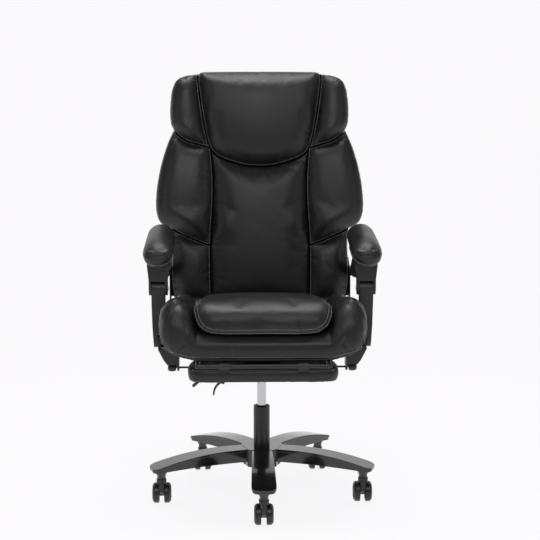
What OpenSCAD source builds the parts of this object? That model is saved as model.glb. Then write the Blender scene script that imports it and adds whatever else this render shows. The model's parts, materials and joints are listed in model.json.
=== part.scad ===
// Reclining office chair with a pull-out footrest.
// The floor point under the gas column is the origin, +Z is up and the sitter faces -Y.

/* [Wheeled base] */
// Radius of the circle that the five caster stems stand on
caster_circle_r = 322; // [280:1:340]
// Length of a leg past the stem of its caster
leg_tip_l = 32; // [28:1:40]
// Width of a leg where it leaves the hub
leg_hub_w = 59; // [50:1:66]
// Width of a leg at its tip
leg_tip_w = 73; // [62:1:80]
// Radius of the two corners of a leg tip
leg_tip_round = 22; // [12:1:28]
// Height of the top of the legs at the hub
leg_top_z = 153.5; // [145:0.5:165]
// Radius of the arch that the top of a leg follows
leg_arch_r = 850; // [700:10:1100]
// Distance from the column at which the arch begins
leg_arch_start = 100; // [70:1:120]
// Height of the lower edge of the legs at the hub
leg_under_z = 114; // [106:1:120]
// Radius of the flatter arch of the lower edge
leg_under_r = 2900; // [2200:50:3600]
// Thickness of the top skin of a leg
leg_skin = 7; // [5:0.5:9]
// Thickness of the overhanging lip along a leg
leg_lip = 8; // [5:0.5:10]
// Overhang of the lip over the side wall
leg_lip_over = 3; // [1:0.5:4]
// Thickness of the side walls and ribs of a leg
leg_wall = 4; // [3:0.5:6]
// Number of cross ribs under a leg
leg_ribs = 4; // [2:1:6]
// Distance from the column to the corners of the hub
hub_r = 66; // [62:1:72]
// Height of the underside of the hub
hub_under_z = 100; // [92:1:104]
// How far the hub plate stands over the legs
hub_step = 1; // [0.5:0.5:2]
// Turn of the base about the column
base_turn = 0; // [-10:0.1:10]

/* [Casters] */
// Diameter of a caster wheel
wheel_d = 62; // [56:1:64]
// Width of one wheel
wheel_w = 20; // [17:0.5:21]
// Width of the web between the two wheels
caster_web_w = 15; // [12:0.5:17]
// Distance by which the axle trails the stem
caster_trail = 16; // [12:1:19]
// Diameter of the caster stem
stem_d = 11; // [9:1:12]
// Diameter of the collar under the socket
caster_collar_d = 30; // [26:1:32]
// Diameter of the wheel axle
axle_d = 8; // [6:1:9]
// Height from the wheels to the top of the caster collar
caster_neck_h = 18; // [16:1:20]

/* [Gas column] */
// Outer diameter of the column tube
column_d = 50; // [48:1:52]
// Height of the foot of the column tube
column_foot_z = 60; // [56:1:64]
// Height of the top of the column tube
column_top_z = 282; // [276:1:290]
// Wall of the column tube
column_wall = 1.8; // [1.5:0.1:2.5]
// Outer diameter of the gas cylinder
gas_d = 28; // [27:0.5:28]
// Distance that the seat sinks from its highest position
lift_h = 90; // [60:5:90]
// Diameter of the piston rod
piston_rod_d = 10; // [8:1:10]
// Length of cylinder that stays guided when the lift is at its lowest
guided_l = 25; // [20:1:27]
// Length of the cylinder taper inside the mechanism
taper_l = 36; // [30:1:38]
// Radius lost along the cylinder taper
gas_taper = 1; // [0.5:0.1:1.5]
// Thickness of the washers of the thrust bearing
washer_t = 2; // [1.5:0.5:2.5]
// Diameter of the balls of the thrust bearing
ball_d = 4; // [3:0.5:4.5]
// Thickness of the retaining clip
clip_t = 2; // [1.5:0.5:2.5]

/* [Seat mechanism] */
// Height of the underside of the mechanism housing
mech_under_z = 404; // [400:1:410]
// Half width of the mechanism housing
mech_half_w = 58; // [52:1:60]
// Half length of the mechanism housing
mech_half_l = 80; // [72:1:84]
// Thickness of the sheet that the housing is pressed from
mech_sheet = 3.5; // [3:0.5:4]
// Half width of the mounting flange
flange_half_w = 90; // [86:1:96]
// Half length of the mounting flange
flange_half_l = 112; // [106:1:114]
// Diameter of the lever rods
lever_rod_d = 8; // [7:1:9]

/* [Seat] */
// Height of the underside of the seat board
board_z = 478; // [478:1:480]
// Thickness of the seat board
board_t = 12; // [10:1:14]
// Half width of the seat board
board_half_w = 240; // [230:1:242]
// Y of the front edge of the seat board
board_front_y = -250; // [-254:1:-240]
// Y of the rear edge of the seat board
board_rear_y = 146; // [138:1:150]
// Largest half width of the seat cushion, in front of the arm posts
seat_half_w = 300; // [294:1:304]
// Y of the front of the seat cushion
seat_front_y = -294; // [-296:1:-290]
// Y of the rear of the seat cushion
seat_rear_y = 188; // [180:1:190]
// Height of the crest of the seat bolsters
seat_crest_z = 642; // [630:1:646]
// Slope of the seat down to the back, in degrees
seat_fall = 6; // [4:0.5:8]
// Half width of the channel that holds the top pad
channel_half_w = 206; // [200:1:212]
// Height of the floor of the channel
channel_z = 560; // [555:1:566]
// Half width of the top pad
top_pad_half_w = 203; // [197:1:204]
// Y of the front of the top pad
top_pad_front_y = -304; // [-308:1:-300]
// Y of the rear of the top pad
top_pad_rear_y = 168; // [160:1:172]
// Height of the crest of the top pad
top_pad_z = 651; // [646:1:656]
// Distance over which the seat cushions round off
seat_edge = 60; // [45:1:64]

/* [Footrest] */
// Half width of the footrest pad
foot_half_w = 219; // [205:1:222]
// Y of the front of the footrest pad
foot_front_y = -293; // [-296:1:-290]
// Y of the rear of the footrest pad
foot_rear_y = -136; // [-142:1:-134]
// Height of the underside of the stowed footrest pad
foot_under_z = 414; // [410:1:418]
// Height of the top of the footrest panel
foot_panel_z = 454; // [450:1:455]
// Thickness of the footrest panel
foot_panel_t = 7; // [5:1:9]
// Diameter of the footrest tubes
slide_tube_d = 14; // [12:1:15]
// Drop of the axis of the footrest tubes below the seat board
slide_drop = 14; // [13:0.5:15]
// Half distance between the two sliding tubes
slide_half_w = 190; // [180:1:192]
// Distance that the footrest pulls out
foot_travel = 200; // [150:5:200]

/* [Armrests] */
// Y of the pivots of the arm posts
post_y = -120; // [-122:1:-118]
// Height of the lower pivots and of the recline axis
pivot_z = 510; // [509:1:512]
// Distance between the lower and the upper pivots
link_l = 156; // [150:1:162]
// X of the inner face of an arm post
post_in_x = 288; // [287.5:0.5:289]
// Width of an arm post at its top
post_w = 40; // [36:1:41]
// Width by which a post narrows towards its foot
post_taper = 6; // [3:1:8]
// Depth of an arm post
post_depth = 42; // [38:1:44]
// Width of an arm pad
arm_pad_w = 90; // [84:1:94]
// Length of an arm pad
arm_pad_l = 312; // [290:1:316]
// Thickness of an arm pad
arm_pad_t = 72; // [64:1:76]
// Rise of the front of the arm trays above the upper pivots
arm_rise = 78; // [74:1:82]
// Slope of the arm pads, rising to the rear
arm_slope = 7; // [4:0.5:9]

/* [Backrest] */
// Y of the recline axis
recline_y = 250; // [248:1:254]
// Y of the foot of the back board
back_foot_y = 278; // [276:1:282]
// Height of the foot of the back board
back_foot_z = 556; // [554:1:560]
// Backward lean of the back at rest
back_lean = 8; // [6:0.5:9]
// Height of the back along its lean
back_h = 750; // [730:1:765]
// Thickness of the back board
back_board_t = 14; // [12:1:16]
// Thickness of the rear cover
back_cover_t = 26; // [20:1:32]
// Half width of the head wings
head_half_w = 287; // [275:1:290]
// Half width of the back wings
wing_half_w = 333; // [320:1:336]
// Half width of the lower bolsters
bolster_half_w = 281; // [270:1:282]
// Depth of the centre panel in front of the back board
centre_depth = 78; // [60:1:84]
// Depth of the headrest in front of the back board
headrest_depth = 108; // [90:1:116]
// Depth of the wings in front of the back board
wing_depth = 98; // [80:1:104]

// Half width of the centre panel
centre_half_w = 162; // [156:1:164]
// Half width of the headrest
headrest_half_w = 200; // [192:1:202]
// Distance over which the back pads round off
back_edge = 46; // [34:1:52]

/* [Brackets and pins] */
// Diameter of the recline pivot bolts
pivot_d = 10; // [8:1:12]
// Diameter of the other bolts and pins
bolt_d = 8; // [6:1:9]
// Height of a bolt head
bolt_head_t = 5; // [4:0.5:6]
// Thickness of the recline hinge and back brackets
hinge_t = 4; // [3:0.5:4.5]
// Distance from the recline hinge to the plane of the post
hinge_offset = 5; // [4.5:0.5:6]
// Thickness of the rail that links an arm to the back
rail_t = 6; // [5:0.5:7]
// Thickness of the ear that carries a post
ear_t = 6; // [5:0.5:7]
// Thickness of the fork cheeks of an arm
cheek_t = 7; // [6:0.5:7.5]
// Thickness of the tray under an arm pad
tray_t = 6; // [5:0.5:8]
// Radial clearance of the open rear pivot of an arm
open_pivot_gap = 1.5; // [1:0.1:2]
// X of the inner end of the foot of an arm bracket
foot_in_x = 150; // [130:1:160]
// X of the inner face of the lug below the seat
lug_in_x = 248; // [244:1:250]
// Depth of an arm bracket
bracket_depth = 56; // [48:1:58]
// Diameter of the rod between the arm brackets
cross_rod_d = 6; // [5:0.5:8]
// Height of the rod between the arm brackets
cross_rod_z = 427; // [424:1:430]
// Diameter of the knobs on the rod
knob_d = 24; // [20:1:24]
// Length of a footrest guide
guide_l = 26; // [20:1:30]
// Distance between the front and rear guides
guide_pitch = 74; // [60:1:80]
// Wall of a footrest guide
guide_wall = 6; // [5:0.5:6]
// Width of the straps that hang the footrest panel
strap_w = 30; // [20:1:40]
// Lower end of the back bracket flange along the back
strap_low = 24; // [20:1:30]
// Upper end of the back bracket flange along the back
strap_high = 150; // [145:1:155]
// X of the inner end of the back bracket flange
strap_in_x = 170; // [150:1:190]
// Width of the lever paddles
grip_w = 24; // [20:1:28]
// Thickness of the lever paddles
grip_t = 5; // [4:0.5:6]

/* [Fits] */
// Radial clearance of a part that turns or slides on another
run_gap = 0.05; // [0.02:0.01:0.09]
// Clearance between soft parts and what they lie on
soft_gap = 0.3; // [0.2:0.05:0.5]
// Gap between cushions where their seams meet
seam_gap = 1.2; // [0.8:0.1:2]
// Clearance between flat parts that move past each other
side_gap = 0.6; // [0.4:0.05:0.8]
// Overrun of every cut past the solid it cuts
over = 1; // [0.5:0.5:2]

/* [Hidden] */
$fn = 64;
fine_fn = 720;

leg_count = 5;
leg_angles = [for (i = [0:leg_count - 1]) -90 + base_turn + i * 360 / leg_count];
leg_tip_r = caster_circle_r + leg_tip_l;
leg_height = leg_top_z - leg_under_z;
hub_top_z = leg_top_z + hub_step;
hub_sleeve_r = column_d / 2 + 2 * leg_wall;
hub_pocket_r = hub_r - 2.5 * leg_wall;
wheel_r = wheel_d / 2;
caster_top_z = wheel_d + caster_neck_h;
socket_low_r = caster_collar_d / 2 - leg_wall / 2;
socket_high_r = socket_low_r + 2 * leg_wall;
stem_top_z = leg_under_z + leg_wall;
axle_len = caster_web_w + 2 * wheel_w - axle_d * 0.75;

gas_low_z = column_top_z - lift_h - guided_l;
gas_top_z = mech_under_z + taper_l;
pin_d = piston_rod_d * 0.8;
pin_top_z = gas_top_z + pin_d * 0.7;
lever_z = pin_top_z + lever_rod_d / 2 + soft_gap;
lever_pivot_x = -mech_half_w * 0.6;
lever_pivot_d = lever_rod_d * 0.75;
recline_lever_y = -mech_half_l * 0.62;
flange_z = board_z - mech_sheet;
slide_tube_z = board_z - slide_drop;

hinge_in_x = post_in_x - hinge_offset;
bracket_in_x = hinge_in_x + hinge_t + side_gap;
rail_in_x = bracket_in_x + hinge_t + 2 * side_gap;
knuckle_z = pivot_z + link_l;
arm_tray_z = knuckle_z + arm_rise;
ear_in_x = post_in_x + post_w * 0.4;
post_eye_r = post_depth / 2;
arm_mid_x = post_in_x + post_w * 0.46;

// Point i of a closed outline after its corners are cut n times.
function cut_corners(pts) = [
  for (i = [0:len(pts) - 1])
    for (t = [0.25, 0.75])
      pts[i] * (1 - t) + pts[(i + 1) % len(pts)] * t
];
function rounded(pts, n) = n == 0 ? pts : rounded(cut_corners(pts), n - 1);
function scaled(pts, w, h) = [for (p = pts) [p[0] * w, p[1] * h]];
function moved(pts, dx, dy) = [for (p = pts) [p[0] + dx, p[1] + dy]];
function axis_values(pts, k) = [for (p = pts) p[k]];
function middle(pts, k) = (max(axis_values(pts, k)) + min(axis_values(pts, k))) / 2;
function half_span(pts, k) = (max(axis_values(pts, k)) - min(axis_values(pts, k))) / 2;

// One ring of a padded form: the outline drawn in by inset, lifted to height h.
function pad_ring(pts, inset, h, tilt) = [
  for (p = pts)
    let (cx = middle(pts, 0), cy = middle(pts, 1), hx = half_span(pts, 0), hy = half_span(pts, 1))
    let (u = (p[0] - cx) / hx, v = (p[1] - cy) / hy)
    let (kx = max(hx - inset, 0) / hx, ky = max(hy - inset, 0) / hy)
    [cx + (p[0] - cx) * kx, cy + (p[1] - cy) * ky,
     h * (1 + tilt[0] * u * kx + tilt[1] * v * ky)]
];

// Closed padded form on an outline. Each entry of profile_shares is a share of edge, drawn in,
// and a share of depth, lifted. Above the last ring the top closes in a low crown.
module pad(pts, depth, edge, profile_shares, crown, tilt = [0, 0], fall = [0, 0]) {
  n = len(pts);
  cx = middle(pts, 0);
  cy = middle(pts, 1);
  hx = half_span(pts, 0);
  hy = half_span(pts, 1);
  short = min(hx, hy);
  last = profile_shares[len(profile_shares) - 1];
  crown_in_shares = [0.4, 0.75];
  lip = edge * last[0];
  rings = concat(
    [for (s = profile_shares) pad_ring(pts, edge * s[0], depth * s[1], tilt)],
    [for (c = crown_in_shares)
      pad_ring(pts, lip + (short - lip) * c,
           depth * last[1] + crown * (1 - pow(1 - c, 2)), tilt)]
  );
  count = len(rings);
  points = concat([for (r = rings) each r],
          [[cx, cy, 0], [cx, cy, depth * last[1] + crown]]);
  low = count * n;
  high = low + 1;
  faces = concat(
    [for (k = [0:count - 2]) for (i = [0:n - 1]) each [
      [k * n + i, (k + 1) * n + i, (k + 1) * n + (i + 1) % n],
      [k * n + i, (k + 1) * n + (i + 1) % n, k * n + (i + 1) % n]]],
    [for (i = [0:n - 1]) [low, i, (i + 1) % n]],
    [for (i = [0:n - 1]) [high, (count - 1) * n + (i + 1) % n, (count - 1) * n + i]]
  );
  polyhedron(points = [for (p = points) [p[0], p[1], p[2] - fall[1] * (p[1] - fall[0])]],
        faces = faces, convexity = 4);
}

// Outline in Y and Z, spread along X from x0 over t.
module plate_yz(x0, t) {
  translate([x0, 0, 0])
    rotate([90, 0, 90])
      linear_extrude(height = t) children();
}

// Outline in X and Z, spread along Y from y0 over t.
module plate_xz(y0, t) {
  translate([0, y0 + t, 0])
    rotate([90, 0, 0])
      linear_extrude(height = t) children();
}

module x_cylinder(x0, x1, y, z, d) {
  translate([x0, y, z])
    rotate([0, 90, 0])
      cylinder(h = x1 - x0, d = d);
}

module y_cylinder(x, y0, y1, z, d) {
  translate([x, y0, z])
    rotate([-90, 0, 0])
      cylinder(h = y1 - y0, d = d);
}

// Round bar between two points.
module bar(a, b, d) {
  v = b - a;
  translate(a)
    rotate([0, acos(v[2] / norm(v)), atan2(v[1], v[0])])
      cylinder(h = norm(v), d = d);
}

module round_rect(x0, y0, x1, y1, r) {
  translate([x0 + r, y0]) square([x1 - x0 - 2 * r, y1 - y0]);
  translate([x0, y0 + r]) square([x1 - x0, y1 - y0 - 2 * r]);
  for (x = [x0 + r, x1 - r], y = [y0 + r, y1 - r])
    translate([x, y]) circle(r = r);
}

module both_sides() {
  children();
  mirror([1, 0, 0]) children();
}

module right_side() {
  mirror([1, 0, 0]) children();
}

// Stands on the floor at leg i, turned so that +X points out along the leg.
module at_leg(i) {
  rotate([0, 0, leg_angles[i]]) children();
}

// Base

module leg_plan(inset) {
  start = leg_tip_r - leg_tip_round;
  hub_half = leg_hub_w / 2 - inset;
  tip_half = leg_tip_w / 2 - inset;
  corner = leg_tip_round - inset;
  polygon([[0, -hub_half], [start, -tip_half], [start, tip_half], [0, hub_half]]);
  translate([start, -(tip_half - corner)]) square([corner, 2 * (tip_half - corner)]);
  for (s = [-1, 1])
    translate([start, s * (tip_half - corner)]) circle(r = corner);
}

// Side view of a leg: under the top arch lowered by drop, over the lower arch or down to floor_z.
module leg_side(drop, floor_z, arched) {
  difference() {
    intersection() {
      translate([0, floor_z]) square([leg_tip_r + over, leg_top_z - drop - floor_z]);
      union() {
        translate([leg_arch_start, leg_top_z - leg_arch_r - drop])
          circle(r = leg_arch_r, $fn = fine_fn);
        translate([0, floor_z]) square([leg_arch_start, leg_top_z - drop - floor_z]);
      }
    }
    if (arched)
      translate([leg_arch_start, leg_under_z - leg_under_r])
        circle(r = leg_under_r, $fn = fine_fn);
  }
}

module leg_band(inset, drop, floor_z, arched) {
  intersection() {
    translate([0, 0, floor_z - over]) linear_extrude(height = leg_top_z) leg_plan(inset);
    translate([0, leg_tip_w, 0])
      rotate([90, 0, 0])
        linear_extrude(height = 2 * leg_tip_w) leg_side(drop, floor_z, arched);
  }
}

module leg_lip_band() {
  difference() {
    leg_band(0, 0, leg_under_z - leg_height, false);
    translate([0, 0, -leg_lip])
      leg_band(-over, 0, leg_under_z - 2 * leg_height, false);
  }
}

module leg() {
  rib_step = (caster_circle_r - socket_high_r - hub_r) / (leg_ribs + 1);
  leg_lip_band();
  difference() {
    leg_band(leg_lip_over, 0, leg_under_z - leg_height, true);
    leg_band(leg_lip_over + leg_wall, leg_skin, leg_under_z - 2 * leg_height, false);
  }
  for (k = [1:leg_ribs])
    intersection() {
      leg_band(leg_lip_over, 0, leg_under_z - leg_height, true);
      translate([hub_r + k * rib_step, -leg_tip_w, 0])
        cube([leg_wall, 2 * leg_tip_w, leg_top_z]);
    }
  intersection() {
    leg_band(leg_lip_over, 0, leg_under_z - leg_height, true);
    translate([0, -leg_wall / 2, 0]) cube([caster_circle_r, leg_wall, leg_top_z]);
  }
}

module caster_socket() {
  translate([caster_circle_r, 0, 0]) {
    translate([0, 0, caster_top_z]) cylinder(h = leg_wall * 2, r = socket_low_r);
    translate([0, 0, caster_top_z + leg_wall * 2])
      cylinder(h = leg_under_z - caster_top_z - leg_wall * 4, r1 = socket_low_r,
           r2 = socket_high_r);
    translate([0, 0, leg_under_z - leg_wall * 2])
      cylinder(h = leg_wall * 3, r = socket_high_r);
  }
}

module hub_solid() {
  intersection() {
    translate([0, 0, hub_under_z])
      rotate([0, 0, leg_angles[0] + 180 / leg_count])
        cylinder(h = hub_top_z - hub_under_z, r = hub_r * 1.06, $fn = leg_count);
    translate([0, 0, hub_under_z]) cylinder(h = hub_top_z - hub_under_z, r = hub_r);
  }
}

module star_base() {
  color([0.03, 0.03, 0.035])
    difference() {
      union() {
        difference() {
          union() {
            hub_solid();
            for (i = [0:leg_count - 1])
              at_leg(i) leg();
          }
          translate([0, 0, hub_under_z - over])
            cylinder(h = hub_top_z - hub_under_z - leg_wall * 3 + over,
                 r = hub_pocket_r);
        }
        translate([0, 0, hub_under_z - 3 * leg_wall])
          cylinder(h = hub_top_z - hub_under_z + 3 * leg_wall, r = hub_sleeve_r);
        for (i = [0:2 * leg_count - 1])
          rotate([0, 0, leg_angles[0] + i * 180 / leg_count])
            translate([column_d / 2, -leg_wall / 2, hub_under_z])
              cube([hub_pocket_r - column_d / 2 + leg_wall / 2, leg_wall,
                 leg_height]);
        for (i = [0:leg_count - 1])
          at_leg(i) caster_socket();
      }
      translate([0, 0, column_foot_z])
        cylinder(h = hub_top_z, d = column_d + 2 * run_gap);
      for (i = [0:leg_count - 1])
        at_leg(i)
          translate([caster_circle_r, 0, caster_top_z - over])
            cylinder(h = stem_top_z - caster_top_z + over + side_gap,
                 d = stem_d + 2 * run_gap);
    }
}

// Gas column

module column_tube() {
  r = column_d / 2;
  color([0.05, 0.05, 0.055])
    rotate_extrude()
      polygon([[piston_rod_d / 2 + side_gap, column_foot_z],
           [r - column_wall, column_foot_z],
           [r, column_foot_z + column_wall],
           [r, column_top_z - column_wall],
           [r - column_wall / 2, column_top_z],
           [r - column_wall, column_top_z],
           [r - column_wall, column_foot_z + 2 * column_wall],
           [piston_rod_d / 2 + side_gap, column_foot_z + 2 * column_wall]]);
}

module column_bush() {
  outer = column_d / 2 - column_wall - run_gap;
  color([0.1, 0.1, 0.1])
    rotate_extrude()
      polygon([[gas_d / 2 + run_gap, gas_low_z + column_wall],
           [outer, gas_low_z + column_wall],
           [outer, column_top_z - column_wall],
           [gas_d / 2 + 2 * column_wall, column_top_z + column_wall / 2],
           [gas_d / 2 + run_gap, column_top_z + column_wall / 2]]);
}

bearing_z = column_foot_z + 2 * column_wall;
bearing_r = piston_rod_d * 1.2;

module thrust_bearing() {
  ball_circle_r = (bearing_r + piston_rod_d / 2) / 2;
  color([0.6, 0.6, 0.62])
    difference() {
      translate([0, 0, bearing_z])
        union() {
          cylinder(h = washer_t, r = bearing_r);
          translate([0, 0, washer_t + ball_d * 0.8])
            cylinder(h = washer_t, r = bearing_r);
          for (a = [0:45:315])
            rotate([0, 0, a])
              translate([ball_circle_r, 0, washer_t + ball_d * 0.4])
                sphere(d = ball_d);
        }
      translate([0, 0, bearing_z - over])
        cylinder(h = 2 * washer_t + ball_d + 2 * over, r = piston_rod_d / 2 + run_gap);
    }
}

module piston_rod() {
  foot = column_foot_z - 2 * clip_t;
  piston_h = piston_rod_d;
  color([0.75, 0.76, 0.78])
    rotate_extrude()
      polygon([[0, foot], [piston_rod_d / 2, foot],
           [piston_rod_d / 2, gas_low_z + 2 * piston_h],
           [gas_d / 2 - 2 * run_gap - column_wall, gas_low_z + 2 * piston_h],
           [gas_d / 2 - 2 * run_gap - column_wall, gas_low_z + 3 * piston_h],
           [0, gas_low_z + 3 * piston_h]]);
}

module retaining_clip() {
  color([0.5, 0.5, 0.52])
    translate([0, 0, column_foot_z - clip_t - side_gap / 2])
      difference() {
        cylinder(h = clip_t, r = piston_rod_d);
        translate([0, 0, -over])
          cylinder(h = clip_t + 2 * over, d = piston_rod_d + 2 * run_gap);
        translate([0, -piston_rod_d * 0.3, -over])
          cube([piston_rod_d + over, piston_rod_d * 0.6, clip_t + 2 * over]);
      }
}

gas_taper_z = mech_under_z + column_wall;

module gas_cylinder() {
  r = gas_d / 2;
  bore = r - column_wall;
  cap = piston_rod_d;
  color([0.8, 0.81, 0.83])
    rotate_extrude()
      polygon([[piston_rod_d / 2 + run_gap, gas_low_z], [r - column_wall / 2, gas_low_z],
           [r, gas_low_z + column_wall / 2], [r, gas_taper_z],
           [r - gas_taper, gas_top_z], [pin_d / 2 + run_gap, gas_top_z],
           [pin_d / 2 + run_gap, gas_top_z - cap], [bore, gas_top_z - cap],
           [bore, gas_low_z + cap], [piston_rod_d / 2 + run_gap, gas_low_z + cap]]);
}

module release_pin() {
  color([0.6, 0.6, 0.62])
    rotate_extrude()
      polygon([[0, gas_top_z - 2 * pin_d], [pin_d / 2, gas_top_z - 2 * pin_d],
           [pin_d / 2, pin_top_z - pin_d / 4], [pin_d / 8, pin_top_z], [0, pin_top_z]]);
}

// Seat mechanism

bolt_x = flange_half_w * 0.82;
bolt_y = flange_half_l * 0.87;

module pivot_ears(y) {
  ear_w = lever_rod_d * 2;
  for (s = [-1, 1])
    translate([0, y + s * lever_rod_d * 1.4, 0])
      plate_xz(-mech_sheet / 2, mech_sheet)
        difference() {
          union() {
            translate([lever_pivot_x - ear_w / 2, lever_z])
              square([ear_w, flange_z - lever_z]);
            translate([lever_pivot_x, lever_z]) circle(d = ear_w);
          }
          translate([lever_pivot_x, lever_z])
            circle(r = lever_pivot_d / 2 + run_gap);
        }
}

module mechanism_housing() {
  w = mech_half_w;
  l = mech_half_l;
  h = flange_z - mech_under_z;
  socket_r = gas_d * 0.75;
  window_h = lever_rod_d * 3.4;
  color([0.07, 0.07, 0.075])
    difference() {
      union() {
        difference() {
          translate([0, 0, mech_under_z])
            linear_extrude(height = h) round_rect(-w, -l, w, l, w / 5);
          translate([0, 0, mech_under_z + mech_sheet])
            linear_extrude(height = h)
              round_rect(-w + mech_sheet, -l + mech_sheet, w - mech_sheet,
                    l - mech_sheet, w / 5 - mech_sheet);
        }
        translate([0, 0, flange_z])
          linear_extrude(height = mech_sheet)
            difference() {
              round_rect(-flange_half_w, -flange_half_l, flange_half_w,
                    flange_half_l, w / 4);
              for (x = [-bolt_x, bolt_x], y = [-bolt_y, bolt_y])
                translate([x, y]) circle(d = bolt_d + side_gap);
            }
        translate([0, 0, mech_under_z]) cylinder(h = gas_top_z - mech_under_z,
                             r = socket_r);
        pivot_ears(0);
        pivot_ears(recline_lever_y);
      }
      translate([0, 0, mech_under_z - over])
        cylinder(h = gas_taper_z - mech_under_z + over, r = gas_d / 2 + run_gap);
      translate([0, 0, gas_taper_z])
        cylinder(h = gas_top_z - gas_taper_z, r1 = gas_d / 2 + run_gap,
             r2 = gas_d / 2 - gas_taper + run_gap);
      translate([0, 0, gas_top_z - run_gap])
        cylinder(h = over, r = gas_d / 2 - gas_taper + run_gap);
      for (y = [0, recline_lever_y])
        translate([-w - over, y - lever_rod_d, lever_z - window_h * 0.6])
          cube([mech_sheet + 2 * over, lever_rod_d * 2, window_h]);
    }
}

lever_bend_x = -mech_half_w * 1.25;
height_end = [-mech_half_w * 2.1, 0, mech_under_z - lever_rod_d * 6];
recline_end = [-mech_half_w * 3.25, recline_lever_y, mech_under_z - lever_rod_d * 3.8];

module lever(y, inner_x, end) {
  pin_len = lever_rod_d * 1.4 + mech_sheet;
  bend = [lever_bend_x, y, lever_z];
  color([0.06, 0.06, 0.06]) {
    bar([inner_x, y, lever_z], bend, lever_rod_d);
    translate(bend) sphere(d = lever_rod_d);
    bar(bend, end, lever_rod_d);
    y_cylinder(lever_pivot_x, y - pin_len, y + pin_len, lever_z, lever_pivot_d);
  }
}

module height_lever() {
  lever(0, pin_d / 2, height_end);
}

module recline_lever() {
  lever(recline_lever_y, lever_pivot_x + lever_rod_d, recline_end);
}

// Sleeve over the end of a lever rod, joined to the paddle that is its child.
module grip(end, length) {
  bend = [lever_bend_x, end[1], lever_z];
  back = (bend - end) / norm(bend - end) * length;
  color([0.05, 0.05, 0.05])
    difference() {
      union() {
        bar(end - back / 4, end + back, lever_rod_d + 2 * grip_t);
        translate([0, end[1], 0]) plate_xz(-grip_w / 2, grip_w) children();
      }
      bar(end, end + 2 * back, lever_rod_d + 2 * run_gap);
    }
}

module height_grip() {
  blade_r = grip_w * 2;
  mid = [height_end[0] + blade_r * 0.4, height_end[2] - blade_r * 0.82];
  grip(height_end, grip_w * 0.7)
    difference() {
      translate(mid) circle(r = blade_r);
      translate(mid) circle(r = blade_r - grip_t);
      translate([mid[0] - blade_r * 0.38, mid[1] - 2 * blade_r])
        square([2 * blade_r, 4 * blade_r]);
      translate([mid[0] - 2 * blade_r, mid[1] - 2 * blade_r])
        square([4 * blade_r, 2 * blade_r]);
    }
}

module recline_grip() {
  grip(recline_end, grip_w * 0.6)
    polygon([[recline_end[0] + grip_t, recline_end[2]],
         [recline_end[0], recline_end[2] + grip_t],
         [recline_end[0] - grip_w, recline_end[2] - grip_w * 0.7],
         [recline_end[0] - grip_w * 0.8, recline_end[2] - grip_w * 0.9]]);
}

// Seat

module seat_board() {
  color([0.62, 0.47, 0.3])
    translate([0, 0, board_z])
      linear_extrude(height = board_t)
        difference() {
          round_rect(-board_half_w, board_front_y, board_half_w, board_rear_y,
                board_t * 3);
          for (x = [-bolt_x, bolt_x], y = [-bolt_y, bolt_y])
            translate([x, y]) circle(d = bolt_d + side_gap);
        }
}

seat_hem_z = board_z + soft_gap;
seat_drop = tan(seat_fall);
seat_plan_shares = [[-0.7, 0], [0, 0], [0.7, 0], [0.93, 0.03], [1, 0.12], [1, 0.22], [0.985, 0.27],
          [0.93, 0.32], [0.93, 0.6], [0.93, 0.94], [0.88, 1], [0, 1], [-0.88, 1],
          [-0.93, 0.94], [-0.93, 0.6], [-0.93, 0.32], [-0.985, 0.27], [-1, 0.22],
          [-1, 0.12], [-0.93, 0.03]];
seat_profile_shares = [[0.62, 0], [0.36, 0.09], [0.16, 0.24], [0.04, 0.38], [0, 0.5], [0.03, 0.64],
            [0.14, 0.79], [0.34, 0.91], [0.62, 0.98], [1, 1]];

module seat_form() {
  plan = moved(scaled(rounded(seat_plan_shares, 1), seat_half_w, seat_rear_y - seat_front_y),
         0, seat_front_y);
  half_l = (seat_rear_y - seat_front_y) / 2;
  depth = seat_crest_z - seat_hem_z - seat_drop * half_l / 2;
  translate([0, 0, seat_hem_z])
    pad(plan, depth, seat_edge, seat_profile_shares, 0, [0, -seat_drop * half_l / depth]);
}

module seat_cushion() {
  color([0.05, 0.05, 0.052])
    difference() {
      seat_form();
      translate([-board_half_w - soft_gap, board_front_y - soft_gap, board_z - over])
        cube([2 * (board_half_w + soft_gap), board_rear_y - board_front_y + 2 * soft_gap,
           board_t + over + soft_gap]);
      plate_yz(-channel_half_w, 2 * channel_half_w)
        polygon([[seat_front_y - seat_edge, channel_z + seat_drop * seat_edge],
             [seat_rear_y + seat_edge,
             channel_z - seat_drop * (seat_rear_y + seat_edge - seat_front_y)],
             [seat_rear_y + seat_edge, seat_crest_z + seat_edge],
             [seat_front_y - seat_edge, seat_crest_z + seat_edge]]);
    }
}

top_pad_plan_shares = [[-0.78, 0], [0, 0], [0.78, 0], [0.97, 0.04], [1, 0.18], [1, 0.5],
            [1, 0.9], [0.92, 1], [0, 1], [-0.92, 1], [-1, 0.9], [-1, 0.5],
            [-1, 0.18], [-0.97, 0.04]];
cushion_profile_shares = [[0.3, 0], [0.08, 0.16], [0, 0.36], [0.05, 0.56], [0.22, 0.76],
             [0.52, 0.9], [1, 1]];

module seat_top_pad() {
  plan = moved(scaled(rounded(top_pad_plan_shares, 1), top_pad_half_w,
            top_pad_rear_y - top_pad_front_y), 0, top_pad_front_y);
  depth = top_pad_z - channel_z - soft_gap;
  crown = depth * 0.08;
  color([0.055, 0.055, 0.057])
    translate([0, 0, channel_z + soft_gap])
      pad(plan, depth - crown, seat_edge * 0.9, cushion_profile_shares, crown,
        [0, -0.07], [seat_front_y, seat_drop]);
}

module bolt_up(x, y, z, head_z) {
  translate([x, y, head_z - bolt_head_t]) cylinder(h = bolt_head_t, d = bolt_d * 1.9, $fn = 6);
  translate([x, y, head_z]) cylinder(h = z - head_z, d = bolt_d);
}

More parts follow.
